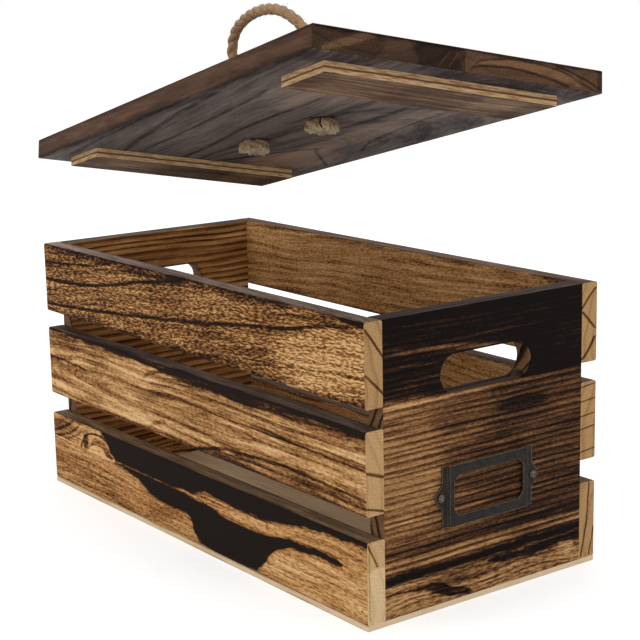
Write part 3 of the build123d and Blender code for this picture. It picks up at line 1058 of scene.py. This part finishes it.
LID_FIGURES = {
    "front": Figure(
        BROWN, SMOKE, UMBER, END_DARK, seed=71.0, tone=0.5, rise=-0.08, ring_spacing=14.0,
        ring_depth=0.05, streak_depth=0.1, cloud_depth=0.07, fleck_depth=0.05, scorch_depth=0.2,
        end_tone=0.34, end_depth=0.08, drawn_on=Side.INNER,
        lines=(
            Line(((-150, -42), (-120, -45), (-60, -55), (0, -65), (60, -72)), 2.6, 0.26),
            Line(((-120, -8), (-60, -14), (0, -22), (80, -25)), 2.2, 0.26),
            Line(((-110, -37), (0, -46), (80, -55)), 1.8, 0.22),
            Line(((-150, -66), (-60, -73), (20, -77)), 1.8, 0.22),
        ),
        # The last two patches are painted shade: a dark patch across the underside at its right end by the
        # cleat, and a dark strip along its front edge.
        patches=(Patch((-100, -50), (60, 22), 0.06), Patch((104, -30), (60, 30), -0.17, 0, 1.0),
                 Patch((151, -39), (17, 46), 0.24, 0, 0.8), Patch((0, -78), (170, 7), 0.16, 0, 0.8)),
        end_lines=(
            Line(((-14, -10), (-8, -2)), 1.0, -0.16, 1),
            Line(((-9, -10), (-4, -3)), 1.0, -0.16, 1),
        ),
        end_bands=(
            Band(((-74, -11), (-60, -7.4), (-44, -1)),
                 ((-74, -9), (-60, -3), (-52, 0), (-44, 2)), -0.26, 0.9),
            Band(((-46, -10), (-26, -7)), ((-46, -1), (-26, -1)), -0.12, 1.6),
            Band(((-78, -1.4), (0, -1.4)), ((-78, 3), (0, 3)), 0.3, 0.5),
            Band(((-28, -12), (-2, -12)), ((-28, 2), (-2, 2)), 0.12, 1.0),
        ),
    ),
    "back": Figure(
        BROWN, SMOKE, UMBER, END_DARK, seed=79.0, tone=0.52, ring_spacing=16.0, ring_depth=0.1,
        streak_depth=0.1, cloud_depth=0.06, fleck_depth=0.05, scorch_depth=0.16, end_tone=0.52,
        end_depth=0.06, drawn_on=Side.INNER,
        arches=Arches((-40, 40), False, 0.4, 0.01),
        lines=(
            Line(((-82, 72), (-60, 55), (-48, 45.6), (-38, 40)), 2.4, 0.36, 8),
            Line(((-104, 13), (-65, 27), (-50, 33), (-38, 40)), 3.0, 0.34, 10),
            Line(((-120, 68), (-105, 55), (-96, 46), (-86, 36)), 2.0, 0.18, 8),
            Line(((-122, 23), (-104, 29), (-86, 36)), 2.4, 0.18, 10),
            Line(((-30, 64), (0, 53), (40, 46), (84, 42)), 1.8, 0.26),
            Line(((20, 21), (50, 22), (84, 20)), 3.4, 0.26),
            Line(((-120, 5), (-60, 6), (0, 4), (80, 2)), 1.4, 0.2),
        ),
        patches=(
            Patch((-76, 46), (40, 24), -0.28, 0, 0.6),
            Patch((10, 40), (110, 10), -0.2, 0, 0.8),
            Patch((50, 31), (60, 4), -0.12),
            Patch((40, 64), (48, 11), 0.12),
            # This last patch is painted shade across the underside at its right end, by the cleat.
            Patch((151, 39), (17, 46), 0.26, 0, 0.8),
        ),
        end_lines=(
            Line(((3, -9), (14, -6.4), (30, -6), (44, -7.6), (58, -10.4)), 0.9, 0.3, 2),
            Line(((4, -7.4), (16, -3), (32, -1.6), (50, -3), (64, -7), (72, -10)), 0.9, 0.24, 2),
            Line(((50, -1.6), (64, -4.4), (76, -9.4)), 0.8, 0.3, 2),
        ),
        end_bands=(
            Band(((2, -8.4), (14, -5.8), (30, -5.4), (46, -7), (66, -10)),
                 ((2, -7), (14, -3.2), (30, -2), (50, -3), (66, -7)), -0.14, 0.8),
            Band(((-2, -1.4), (80, -1.4)), ((-2, 3), (80, 3)), 0.3, 0.5),
            Band(((73, -12), (80, -12)), ((73, 2), (80, 2)), 0.2, 0.6),
        ),
    ),
}
PLY_FIGURE = Figure(
    SMOKE, CLAY, CREAM, CREAM, seed=83.0, tone=0.42, ring_spacing=9.0, ring_depth=0.08, streak_depth=0.2,
    fleck_depth=0.06, drawn_on=Side.INNER,
    patches=(Patch((38, 0), (14, 400), -0.2), Patch((-34, 0), (20, 400), -0.16)),
)
BASE_FIGURE = Figure(
    CREAM, CREAM, CREAM, CREAM, seed=89.0, tone=0.66, ring_depth=0.05, fleck_depth=0.08, scorch_depth=0.05,
    end_spacing=30.0, end_depth=0.1,
)


@dataclass
class PlywoodFinish(BoardFinish):
    """The finish of a plywood piece, whose cut edges show its three plies."""

    thickness: float = 5.0
    waviness: float = 0.7
    pale: Colour = tint(222, 190, 146)
    glue: Colour = tint(120, 76, 50)
    scorched: Colour = tint(156, 112, 70)

    def face_colour(self, graph: Graph, place: Value, masks: tuple[Value, ...], tone: Value) -> Value:
        """Builds the colour of the broad faces and of the plies along the edges.

        Args:
            graph: The material's graph.
            place: The place in the piece's own axes, in millimetres.
            masks: Masks of the outer, inner and end faces.
            tone: The tone of the long grain.

        Returns:
            The colour.
        """
        outer, inner, _ = masks
        along, across, deep = graph.split(place)
        wave = graph.noise(graph.join(along * 0.05, across * 0.05)) - 0.5
        level = (deep + wave * self.waviness) / -self.thickness
        core = graph.fall(abs(level - 0.5), 0.05, 0.13)
        fibre = graph.noise(place * (0.14, 0.14, 2.0), 3.0, 0.65)
        pale = graph.mix(graph.step(fibre, 0.3, 0.62), self.scorched, self.pale)
        colour = graph.mix(core, pale, self.glue)
        colour = graph.mix(outer, colour, graph.ramp(tone, self.figure.outer.stops()))
        return graph.mix(inner, colour, graph.ramp(tone, self.figure.inner.stops()))


class MetalWear(Enum):
    """How a metal piece has aged."""

    BRONZED = "bronzed"
    BRIGHT = "bright"
    DULL = "dull"


@dataclass(frozen=True)
class MetalFinish:
    """Metal with cloudy tarnish, worn bare along its edges."""

    name: str
    wear: MetalWear
    body: Colour
    cloud: Colour
    bare: Colour
    edge: float
    relief: float = 0.0001

    def build(self) -> Material:
        """Builds the material.

        Returns:
            The material.
        """
        material = bpy.data.materials.new(self.name)
        graph = Graph.opened(material)
        place = graph.millimetres()
        clouds = graph.step(graph.noise(place * (0.3, 0.3, 0.3), 4.0, 0.6), 0.35, 0.65)
        grit = graph.noise(place * (2.4, 2.4, 2.4), 3.0, 0.6)
        rounded = graph.out(graph.node("Bevel", self.edge, samples=6))
        flat = graph.out(graph.node("NewGeometry"), "Normal")
        agreement = graph.out(graph.node("VectorMath", rounded, flat, operation="DOT_PRODUCT"), "Value")
        worn = graph.fall(agreement, 0.86, 0.99) * graph.step(grit, 0.36, 0.56)
        grit_share, bare_share = 0.3, 0.8
        smoothest = 0.25 if self.wear is MetalWear.BRIGHT else 0.34
        named = {
            "Base Color": graph.mix(worn, graph.mix(clouds, self.body, self.cloud), self.bare),
            "Roughness": grit * grit_share + smoothest,
            "Normal": graph.bump(grit, 0.25, self.relief),
            "Metallic": 0.9,
        }
        if self.wear is MetalWear.BRONZED:
            named |= {"Metallic": worn * bare_share, "Specular IOR Level": 0.12}
        graph.principled(named)
        return material


@dataclass(frozen=True)
class JuteFinish:
    """Jute yarn: fine fibres that follow the twist, pale on the yarns' crowns as painted highlight and brown
    in the furrows as painted shade.
    """

    name: str = "jute_yarn"
    deep: Colour = tint(96, 68, 44)
    middle: Colour = tint(156, 122, 86)
    light: Colour = tint(186, 156, 118)
    fray_and_root_shade: float = 0.0
    twist: float = 0.16
    yarns: int = 5
    yarn_relief: float = 0.5
    relief: float = 0.0003

    def build(self) -> Material:
        """Builds the material, which reads the way along and round each strand from its UV map.

        Returns:
            The material.
        """
        material = bpy.data.materials.new(self.name)
        graph = Graph.opened(material)
        along, around, _ = graph.split(graph.out(graph.node("TexCoord"), "UV"))
        wide = graph.noise(graph.millimetres() * (0.16, 0.16, 0.16), 3.0, 0.6)
        turned = around + along * self.twist
        fibres = graph.noise(graph.join(turned * 26.0, along * 0.6), 3.0, 0.7)
        # The yarns' wave darkens the furrows as painted shade and lightens the crowns as painted highlight,
        # besides raising the bump.
        yarns = graph.math("SINE", turned * (self.yarns * 2 * math.pi) + wide * 9.0)
        fibre_share, furrow_shade_share, mottle_share, mottle_shift = 0.55, 0.12, 0.8, 0.2
        fibre_and_furrow_shade_tone = graph.step(fibres, 0.3, 0.7) * fibre_share + yarns * furrow_shade_share
        # Tone rises along each fibre from root to tip: the frayed tips are paler, and the darker roots up at
        # the knot are painted shade.
        tone = fibre_and_furrow_shade_tone + (wide * mottle_share - mottle_shift) + along * self.fray_and_root_shade
        graph.principled({
            "Base Color": graph.ramp(tone, {0.05: self.deep, 0.42: self.middle, 0.9: self.light}),
            "Normal": graph.bump(fibres + yarns * self.yarn_relief, 0.8, self.relief),
            "Roughness": 0.92,
            "Specular IOR Level": 0.2,
            "Sheen Weight": 0.25,
            "Sheen Roughness": 0.5,
        })
        return material


def dress(name: str, material: Material) -> None:
    """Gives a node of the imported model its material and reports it.

    Args:
        name: The node's name.
        material: What it is dressed in.
    """
    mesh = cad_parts[name].data
    mesh.materials.clear()
    mesh.materials.append(material)
    LOG.info("%s dressed in %s", name, material.name)


@dataclass
class Crate:
    """The open crate: base, slats, ends and their brads."""

    effects: WoodEffects

    def dress(self, brads: Material) -> None:
        """Dresses every node of the crate.

        Args:
            brads: The finish of the brads.
        """
        for side, outward, figures in (("front", -BACK, FRONT_FIGURES), ("back", BACK, BACK_FIGURES)):
            for level, figure in figures.items():
                self.dress_upright(f"slat_{side}_{level}", outward, figure)
            dress(f"slat_brads_{side}", brads)
        for name, figure in END_FIGURES.items():
            self.dress_upright(f"end_{name}", RIGHT if name.startswith("right") else -RIGHT, figure)
        low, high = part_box("base_board")
        axes = BoardAxes(Vector((0.0, 0.0, low.z)), RIGHT, -BACK)
        thickness = (high.z - low.z) / MM
        sheet = BoardFinish(self.effects, "base_sheet", BASE_FIGURE, axes, low.y / MM, high.y / MM, thickness)
        dress("base_board", sheet.build())
        dress("base_brads", brads)

    def dress_upright(self, name: str, outward: Vector, figure: Figure) -> None:
        """Dresses a slat or a board of an end.

        Args:
            name: The board's node.
            outward: The way that its outer face looks.
            figure: The board's figure.
        """
        low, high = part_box(name)
        inner, outer = sorted((outward.dot(low), outward.dot(high)))
        axes = BoardAxes(outward * outer, UP.cross(outward), UP)
        finish = BoardFinish(
            self.effects, f"torched_{name}", figure, axes, low.z / MM, high.z / MM, (outer - inner) / MM
        )
        dress(name, finish.build())


@dataclass
class Lid:
    """The lid as it is held: two boards, two plywood cleats and their brads, sizes in millimetres."""

    effects: WoodEffects
    held: Vector = field(default_factory=lambda: Vector((0.0487, -0.0391, 0.2343)))
    turns: tuple[float, float, float] = (-11.6, -11.7, -7.7)
    thickness: float = 11.0
    width: float = 156.0
    cleat_half: float = 145.0

    def matrix(self) -> Matrix:
        """Gives the place of the lid's own axes, which start in the middle of its lower face."""
        turn = Euler([math.radians(angle) for angle in self.turns], "ZYX").to_matrix()
        return Matrix.Translation(self.held) @ turn.to_4x4()

    def dress(self, brads: Material) -> None:
        """Dresses every node of the lid.

        Args:
            brads: The finish of the brads.
        """
        place = self.matrix()
        turn = place.to_3x3()
        top = place @ Vector((0.0, 0.0, self.thickness * MM))
        board_axes = BoardAxes(top, turn @ RIGHT, turn @ BACK)
        cleat_axes = BoardAxes(self.held, turn @ BACK, turn @ -RIGHT)
        for side, low, high in (("front", -self.width / 2, 0.0), ("back", 0.0, self.width / 2)):
            name = f"lid_board_{side}"
            figure = LID_FIGURES[side]
            finish = f"torched_{name}"
            board = BoardFinish(self.effects, finish, figure, board_axes, low, high, self.thickness)
            dress(name, board.build())
        for end in ("left", "right"):
            cleat = PlywoodFinish(
                self.effects, f"plywood_{end}", PLY_FIGURE, cleat_axes, -self.cleat_half, self.cleat_half
            )
            dress(f"lid_cleat_{end}", cleat.build())
        dress("cleat_brads", brads)


@dataclass
class CardFrame:
    """The pressed card frame on the right end and its two screws."""

    bronze: MetalFinish = MetalFinish(
        "bronzed_sheet", MetalWear.BRONZED, tint(26, 25, 23), tint(41, 38, 34), tint(178, 152, 106), 0.00045
    )
    steel: MetalFinish = MetalFinish(
        "screw_steel", MetalWear.BRIGHT, tint(58, 54, 48), tint(86, 81, 72), tint(200, 190, 168), 0.0004
    )

    def dress(self) -> None:
        """Dresses the frame and its screws."""
        dress("label_frame", self.bronze.build())
        dress("label_screws", self.steel.build())


class TubeMesh:
    """Closed tubes that are listed one by one and become one mesh."""

    def __init__(self) -> None:
        """Starts with no tube."""
        self.vertices: list[Vector] = []
        self.faces: list[tuple[int, ...]] = []
        self.uvs: list[Point] = []

    def add(self, path: list[Vector], radius: float, sides: int) -> None:
        """Adds a tube, whose UVs are millimetres along and the share of the way round.

        Args:
            path: The tube's middle line.
            radius: Its radius.
            sides: How many sides it has.
        """
        first = len(self.vertices)
        last = first + (len(path) - 1) * sides
        corners = range(sides)
        travelled = [0.0]
        for start, end in zip(path, path[1:]):
            travelled.append(travelled[-1] + (end - start).length / MM)
        for centre, (side, other) in zip(path, carried_frames(path)):
            for corner in corners:
                angle = 2 * math.pi * corner / sides
                self.vertices.append(centre + (side * math.cos(angle) + other * math.sin(angle)) * radius)
        for ring, (before, after) in enumerate(zip(travelled, travelled[1:])):
            low, high = first + ring * sides, first + (ring + 1) * sides
            for corner in corners:
                beside = (corner + 1) % sides
                left, right = corner / sides, (corner + 1) / sides
                self.faces.append((low + corner, low + beside, high + beside, high + corner))
                self.uvs += [(before, left), (before, right), (after, right), (after, left)]
        self.faces.append(tuple(first + corner for corner in reversed(corners)))
        self.faces.append(tuple(last + corner for corner in corners))
        self.uvs += [(0.0, corner / sides) for corner in reversed(corners)]
        self.uvs += [(travelled[-1], corner / sides) for corner in corners]

    def piece(self, name: str, material: Material) -> Piece:
        """Makes a smooth-shaded object of the tubes.

        Args:
            name: The piece's name.
            material: Its finish.

        Returns:
            The new piece.
        """
        mesh = bpy.data.meshes.new(name)
        mesh.from_pydata([tuple(vertex) for vertex in self.vertices], [], self.faces)
        layer = mesh.uv_layers.new(name="twist")
        for corner, uv in zip(layer.data, self.uvs):
            corner.uv = uv
        mesh.polygons.foreach_set("use_smooth", [True] * len(mesh.polygons))
        mesh.materials.append(material)
        mesh.update()
        piece = bpy.data.objects.new(name, mesh)
        bpy.context.scene.collection.objects.link(piece)
        return piece


@dataclass
class Rope:
    """Three-strand jute rope: the arch of the handle, and a knotted leg under each of its feet."""

    lid: Matrix
    diameter: float = 0.006
    lay: float = 0.0215
    strands: int = 3
    strand_sides: int = 10
    strand_radius: float = 0.00185
    spacing: float = 0.0005
    hole_pitch: float = 0.072
    lid_thickness: float = 0.011
    foot_rise: float = 0.0005
    lean: float = 19.5
    rise: float = 0.0528
    leg_top: float = 0.0087
    leg_end: float = -0.0071
    leg_runs: int = 16
    turn_radius: float = 0.0055
    turn_gap: float = 0.0002
    turn_drop: float = 0.0006
    turn_runs: int = 48
    turn_sweep: int = 345
    turn_fullness: float = 0.95
    loose_count: int = 260
    frayed_count: int = 760
    cut_count: int = 300
    cord_length: float = 0.163
    shape: tuple[Point, ...] = (
        (-0.5, 0), (-0.514, 0.161), (-0.57, 0.35), (-0.6, 0.568), (-0.542, 0.792), (-0.396, 0.9375),
        (-0.18, 1), (0.055, 1), (0.27, 0.928), (0.4375, 0.78), (0.553, 0.58), (0.576, 0.352),
        (0.528, 0.1515), (0.5, 0),
    )

    def build(self, jute: Material, cut_jute: Material) -> None:
        """Builds the handle and its two knots.

        Args:
            jute: The finish of the strands and loose fibres.
            cut_jute: The paler finish of the cut ends.
        """
        route = self.arch_line()
        arch = self.lay_strands("rope_arch", route, jute)
        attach(arch, "rope_handle")
        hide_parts("rope_handle")
        fuzz = self.loose_fibres("rope_arch_fibres", route, jute, 5)
        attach(fuzz, "rope_handle")
        LOG.info("rope arch built with %d points", len(route))
        for end, sign in (("left", -1), ("right", 1)):
            self.build_knot(end, sign, jute, cut_jute)

    def arch_line(self) -> list[Vector]:
        """Gives the points of the arch's smooth line, read from its NURBS spline.

        Returns:
            The points from the left foot to the right one.
        """
        lean = math.radians(self.lean)
        level = self.lid_thickness + self.foot_rise
        points = []
        for across, up in self.shape:
            height = up * self.rise
            point = (across * self.hole_pitch, -height * math.sin(lean), level + height * math.cos(lean))
            points.append(self.lid @ Vector(point))
        return smooth_line("arch_route", points)

    def build_knot(self, end: str, sign: int, jute: Material, cut_jute: Material) -> None:
        """Builds the leg through the lid and the turn knotted round it.

        Args:
            end: Which end of the handle it is.
            sign: -1 for the left one and 1 for the right one.
            jute: The finish of the strands.
            cut_jute: The finish of the cut ends.
        """
        foot = Vector((sign * self.hole_pitch / 2, 0.0, 0.0))
        fall = self.leg_end - self.leg_top
        leg = [self.lid @ Vector((foot.x, 0.0, self.leg_top + run / self.leg_runs * fall))
               for run in range(self.leg_runs + 1)]
        ring = self.knot_ring(foot, sign)
        turn = [self.lid @ point for point in ring]
        down = self.lid.to_3x3() @ DOWN
        leg_piece = self.lay_strands(f"rope_leg_{end}", leg, jute)
        turn_piece = self.lay_strands(f"rope_turn_{end}", turn, jute, self.turn_fullness)
        fuzz = self.loose_fibres(f"rope_knot_fibres_{end}", turn, cut_jute, 11 + sign)
        fray_and_root_shade = self.frayed_edge(f"rope_fray_{end}", ring, foot, cut_jute, 23 + sign)
        cut = self.cut_end(f"rope_cut_{end}", leg[-1], down, cut_jute, 17 + sign)
        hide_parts(f"rope_knot_{end}")
        for piece in (leg_piece, turn_piece, fuzz, fray_and_root_shade, cut):
            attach(piece, "lid")
        LOG.info("knot %s built", end)

    def knot_ring(self, foot: Vector, sign: int) -> list[Vector]:
        """Gives the points of the turn round a leg, in the lid's own axes.

        Args:
            foot: The middle of the leg.
            sign: -1 for the left leg and 1 for the right one.

        Returns:
            The points along the turn.
        """
        start, lobes, lobe_height = -70 + sign * 40, 3, 0.07
        ring = []
        for number in range(self.turn_runs + 1):
            angle = math.radians(start + self.turn_sweep * number / self.turn_runs)
            reach = self.turn_radius * (1 + lobe_height * math.cos(lobes * angle))
            level = -self.diameter / 2 - self.turn_gap - self.turn_drop * (number / self.turn_runs - 0.5)
            ring.append(Vector((foot.x + reach * math.cos(angle), reach * math.sin(angle), level)))
        return ring

    def frayed_edge(self, name: str, ring: list[Vector], middle: Vector, jute: Material, seed: int) -> Piece:
        """Grows the thick fringe of frayed yarn below a knot, trimmed level.

        Args:
            name: The piece's name.
            ring: The knot's middle line in the lid's own axes.
            middle: The middle of the knot in those axes.
            jute: The finish of the yarn.
            seed: What the random draws start from.

        Returns:
            The new piece.
        """
        draw = random.Random(seed)
        deepest, lump_depth, lumps = 7.0, 1.3, 7.0
        tubes = TubeMesh()
        for _ in range(self.frayed_count):
            centre = ring[draw.randrange(len(ring))]
            out = Vector((centre.x - middle.x, centre.y - middle.y, 0.0)).normalized()
            side = out.cross(DOWN)
            lump = 0.5 + 0.5 * math.sin(lumps * math.atan2(out.y, out.x) + seed)
            root = centre + out * MM * draw.uniform(-3.0, 2.9) + DOWN * MM * draw.uniform(-0.6, 2.0)
            drop = root.z + MM * (deepest - lump_depth * lump - draw.uniform(0.0, 0.4))
            lean = out * draw.uniform(-0.12, 0.16) + side * draw.uniform(-0.2, 0.55)
            path = [self.lid @ (root + (DOWN + lean * share) * drop * share) for share in (0.0, 0.5, 1.0)]
            tubes.add(path, MM * draw.uniform(0.14, 0.3), 5)
        return tubes.piece(name, jute)

    def lay_strands(self, name: str, line: list[Vector], jute: Material, fullness: float = 1.0) -> Piece:
        """Lays three twisted strands along a line as one mesh.

        Args:
            name: The piece's name.
            line: The rope's middle line.
            jute: The strands' finish.
            fullness: The share of the rope's thickness.

        Returns:
            The new piece.
        """
        centres = even_points(line, self.spacing)
        frames = carried_frames(centres)
        reach = (self.diameter / 2 - self.strand_radius) * fullness
        wobble_share, wobble_rate, strand_shift = 0.09, 0.13, 2.1
        tubes = TubeMesh()
        for strand in range(self.strands):
            path = []
            for number, (centre, (side, other)) in enumerate(zip(centres, frames)):
                angle = 2 * math.pi * (strand / self.strands + number * self.spacing / self.lay)
                wobble = 1 + wobble_share * math.sin(wobble_rate * number + strand_shift * strand)
                path.append(centre + (side * math.cos(angle) + other * math.sin(angle)) * reach * wobble)
            tubes.add(path, self.strand_radius * fullness, self.strand_sides)
        return tubes.piece(name, jute)

    def loose_fibres(self, name: str, line: list[Vector], jute: Material, seed: int) -> Piece:
        """Grows fine loose fibres from the rope's surface.

        Args:
            name: The piece's name.
            line: The rope's middle line.
            jute: Their finish.
            seed: What the random draws start from.

        Returns:
            The new piece.
        """
        draw = random.Random(seed)
        centres = even_points(line, self.spacing)
        frames = carried_frames(centres)
        root_share, fibre_radius = 0.44, 0.00005
        tubes = TubeMesh()
        for _ in range(self.loose_count):
            number = draw.randrange(1, len(centres) - 1)
            side, other = frames[number]
            angle = draw.uniform(0, 2 * math.pi)
            out = side * math.cos(angle) + other * math.sin(angle)
            along = (centres[number + 1] - centres[number - 1]).normalized()
            lean = along * draw.uniform(-1.0, 1.0) + out * draw.uniform(0.15, 0.6)
            length = draw.uniform(0.0012, 0.0034)
            root = centres[number] + out * self.diameter * root_share
            bend = out * draw.uniform(-0.35, 0.25)
            path = [root + (lean + bend * share) * length * share for share in (0.0, 0.35, 0.7, 1.0)]
            tubes.add(path, fibre_radius, 3)
        return tubes.piece(name, jute)

    def cut_end(self, name: str, middle: Vector, down: Vector, jute: Material, seed: int) -> Piece:
        """Builds the brush of fibres where the rope is cut off.

        Args:
            name: The piece's name.
            middle: The middle of the cut.
            down: The way that the cut faces.
            jute: The fibres' finish.
            seed: What the random draws start from.

        Returns:
            The new piece.
        """
        draw = random.Random(seed)
        side = down.orthogonal().normalized()
        other = down.cross(side)
        brush_share, root_depth = 1.02, 0.0016
        tubes = TubeMesh()
        for _ in range(self.cut_count):
            angle = draw.uniform(0, 2 * math.pi)
            reach = self.diameter / 2 * math.sqrt(draw.uniform(0.0, 1.0)) * brush_share
            out = side * math.cos(angle) + other * math.sin(angle)
            root = middle + out * reach - down * root_depth
            length = draw.uniform(0.0012, 0.0021)
            tip = root + down * length + out * draw.uniform(-0.0001, 0.0004)
            tubes.add([root, (root + tip) / 2, tip], draw.uniform(0.00012, 0.0002), 4)
        return tubes.piece(name, jute)


def smooth_line(name: str, controls: list[Vector]) -> list[Vector]:
    """Gives the points of a NURBS spline of order 3.

    Args:
        name: A name for the spline while it is read.
        controls: The spline's control points.

    Returns:
        The points along it.
    """
    curve = bpy.data.curves.new(name, "CURVE")
    curve.dimensions = "3D"
    curve.resolution_u = 24
    spline = curve.splines.new("NURBS")
    spline.points.add(len(controls) - 1)
    for point, place in zip(spline.points, controls):
        point.co = (*place, 1.0)
    spline.order_u = 3
    spline.use_endpoint_u = True
    holder = bpy.data.objects.new(name, curve)
    mesh = bpy.data.meshes.new_from_object(holder)
    points = [vertex.co.copy() for vertex in mesh.vertices]
    bpy.data.objects.remove(holder)
    bpy.data.meshes.remove(mesh)
    bpy.data.curves.remove(curve)
    return points


def even_points(line: list[Vector], spacing: float) -> list[Vector]:
    """Walks along a line.

    Args:
        line: The line's points.
        spacing: The length of a step.

    Returns:
        The point at each step, and the line's last one.
    """
    points = [line[0].copy()]
    carried = 0.0
    for start, end in zip(line, line[1:]):
        length = (end - start).length
        travelled = spacing - carried
        while travelled <= length:
            points.append(start.lerp(end, travelled / length))
            travelled += spacing
        carried = (carried + length) % spacing
    points.append(line[-1].copy())
    return points


def carried_frames(points: list[Vector]) -> list[tuple[Vector, Vector]]:
    """Carries two directions square to a line along it without twist.

    Args:
        points: The line's points.

    Returns:
        The two directions at each point.
    """
    tangents = []
    for number in range(len(points)):
        before, after = points[max(number - 1, 0)], points[min(number + 1, len(points) - 1)]
        tangents.append((after - before).normalized())
    side = tangents[0].orthogonal().normalized()
    frames = []
    for tangent in tangents:
        side = (side - tangent * side.dot(tangent)).normalized()
        frames.append((side, tangent.cross(side)))
    return frames


@dataclass(frozen=True)
class Lamp:
    """A square lamp that faces the crate: its place, the length of its sides and its watts."""

    name: str
    place: tuple[float, float, float]
    size: float
    power: float
    target: tuple[float, float, float] = (0.0, 0.0, 0.15)

    def build(self) -> None:
        """Builds the lamp."""
        data = bpy.data.lights.new(self.name, "AREA")
        data.shape = "SQUARE"
        data.size = self.size
        data.energy = self.power
        lamp = bpy.data.objects.new(self.name, data)
        lamp.location = self.place
        lamp.rotation_euler = (Vector(self.target) - Vector(self.place)).to_track_quat("-Z", "Y").to_euler()
        bpy.context.scene.collection.objects.link(lamp)


@dataclass
class Studio:
    """Camera, soft lamps, white surroundings and the pale floor."""

    eye: Vector = field(default_factory=lambda: Vector((0.7392, -0.5344, 0.3122)))
    right: Vector = field(default_factory=lambda: Vector((0.60040, 0.79944, -0.02041)))
    above: Vector = field(default_factory=lambda: Vector((-0.15529, 0.14159, 0.97767)))
    behind: Vector = field(default_factory=lambda: Vector((0.78448, -0.58382, 0.20916)))
    sensor: float = 36.0
    lens: float = 90.87
    lens_shift: float = 0.0047
    surround: float = 0.72
    floor_half: float = 6.0
    floor_colour: Colour = (0.8, 0.8, 0.8)
    floor_glow: float = 0.45
    lamps: tuple[Lamp, ...] = (
        Lamp("key_lamp", (-0.25, -1.5, 0.95), 1.3, 7.5),
        Lamp("side_lamp", (1.5, 0.1, 0.9), 1.2, 4.5),
        Lamp("top_lamp", (0.0, 0.0, 1.9), 1.4, 5.0),
    )

    def build(self) -> None:
        """Builds the camera, world, floor and lamps."""
        self.build_camera()
        self.build_world()
        self.build_floor()
        for lamp in self.lamps:
            lamp.build()
        bpy.context.scene.view_settings.view_transform = "Standard"

    def build_camera(self) -> None:
        """Builds the camera at the photograph's place and angle."""
        data = bpy.data.cameras.new("camera")
        data.sensor_width = self.sensor
        data.lens = self.lens
        data.shift_y = self.lens_shift
        camera = bpy.data.objects.new("camera", data)
        turn = Matrix((self.right, self.above, self.behind)).transposed()
        camera.matrix_world = Matrix.Translation(self.eye) @ turn.to_4x4()
        bpy.context.scene.collection.objects.link(camera)
        bpy.context.scene.camera = camera

    @staticmethod
    def seen_directly(graph: Graph) -> Value:
        """Tells the rays that show the surroundings themselves from those that light.

        Args:
            graph: The graph of the surroundings.

        Returns:
            1 for the rays that show them, and 0 for the others.
        """
        rays = graph.node("LightPath")
        seen = graph.math("MAXIMUM", graph.out(rays, "Is Camera Ray"), graph.out(rays, "Is Glossy Ray"))
        return graph.math("MAXIMUM", seen, graph.out(rays, "Is Transmission Ray"))

    def build_world(self) -> None:
        """Builds even surroundings that look white and light the crate softly."""
        world = bpy.data.worlds.new("surroundings")
        graph = Graph.opened(world)
        lit = graph.out(graph.node("Background", WHITE, self.surround))
        white = graph.out(graph.node("Background", WHITE, 1.0))
        both = graph.node("MixShader", self.seen_directly(graph), lit, white)
        graph.node("OutputWorld", graph.out(both))
        bpy.context.scene.world = world

    def build_floor(self) -> None:
        """Builds the pale floor, which shows white and keeps the crate's shadow."""
        half = self.floor_half
        corners = [(-half, -half, 0), (half, -half, 0), (half, half, 0), (-half, half, 0)]
        mesh = bpy.data.meshes.new("floor")
        mesh.from_pydata(corners, [], [(0, 1, 2, 3)])
        material = bpy.data.materials.new("pale_floor")
        graph = Graph.opened(material)
        matt = graph.out(graph.node("BsdfDiffuse", (*self.floor_colour, 1.0)))
        glow = graph.out(graph.node("Emission", WHITE, self.seen_directly(graph) * self.floor_glow))
        graph.node("OutputMaterial", graph.out(graph.node("AddShader", matt, glow)))
        mesh.materials.append(material)
        floor = bpy.data.objects.new("floor", mesh)
        bpy.context.scene.collection.objects.link(floor)


def main() -> None:
    """Builds the studio and dresses the crate, its lid, card frame and rope."""
    logging.basicConfig(level=logging.INFO, format="%(name)s: %(message)s")
    Studio().build()
    effects = WoodEffects()
    wire = MetalFinish(
        "brad_wire", MetalWear.DULL, tint(70, 62, 54), tint(92, 82, 70), tint(120, 108, 92), 0.0001
    ).build()
    Crate(effects).dress(wire)
    lid = Lid(effects)
    lid.dress(wire)
    CardFrame().dress()
    jute = JuteFinish().build()
    cut_jute = JuteFinish(
        "cut_jute", tint(136, 92, 54), tint(212, 174, 124), tint(250, 228, 190), fray_and_root_shade=0.14
    ).build()
    Rope(lid.matrix()).build(jute, cut_jute)


if __name__ == "__main__":
    main()
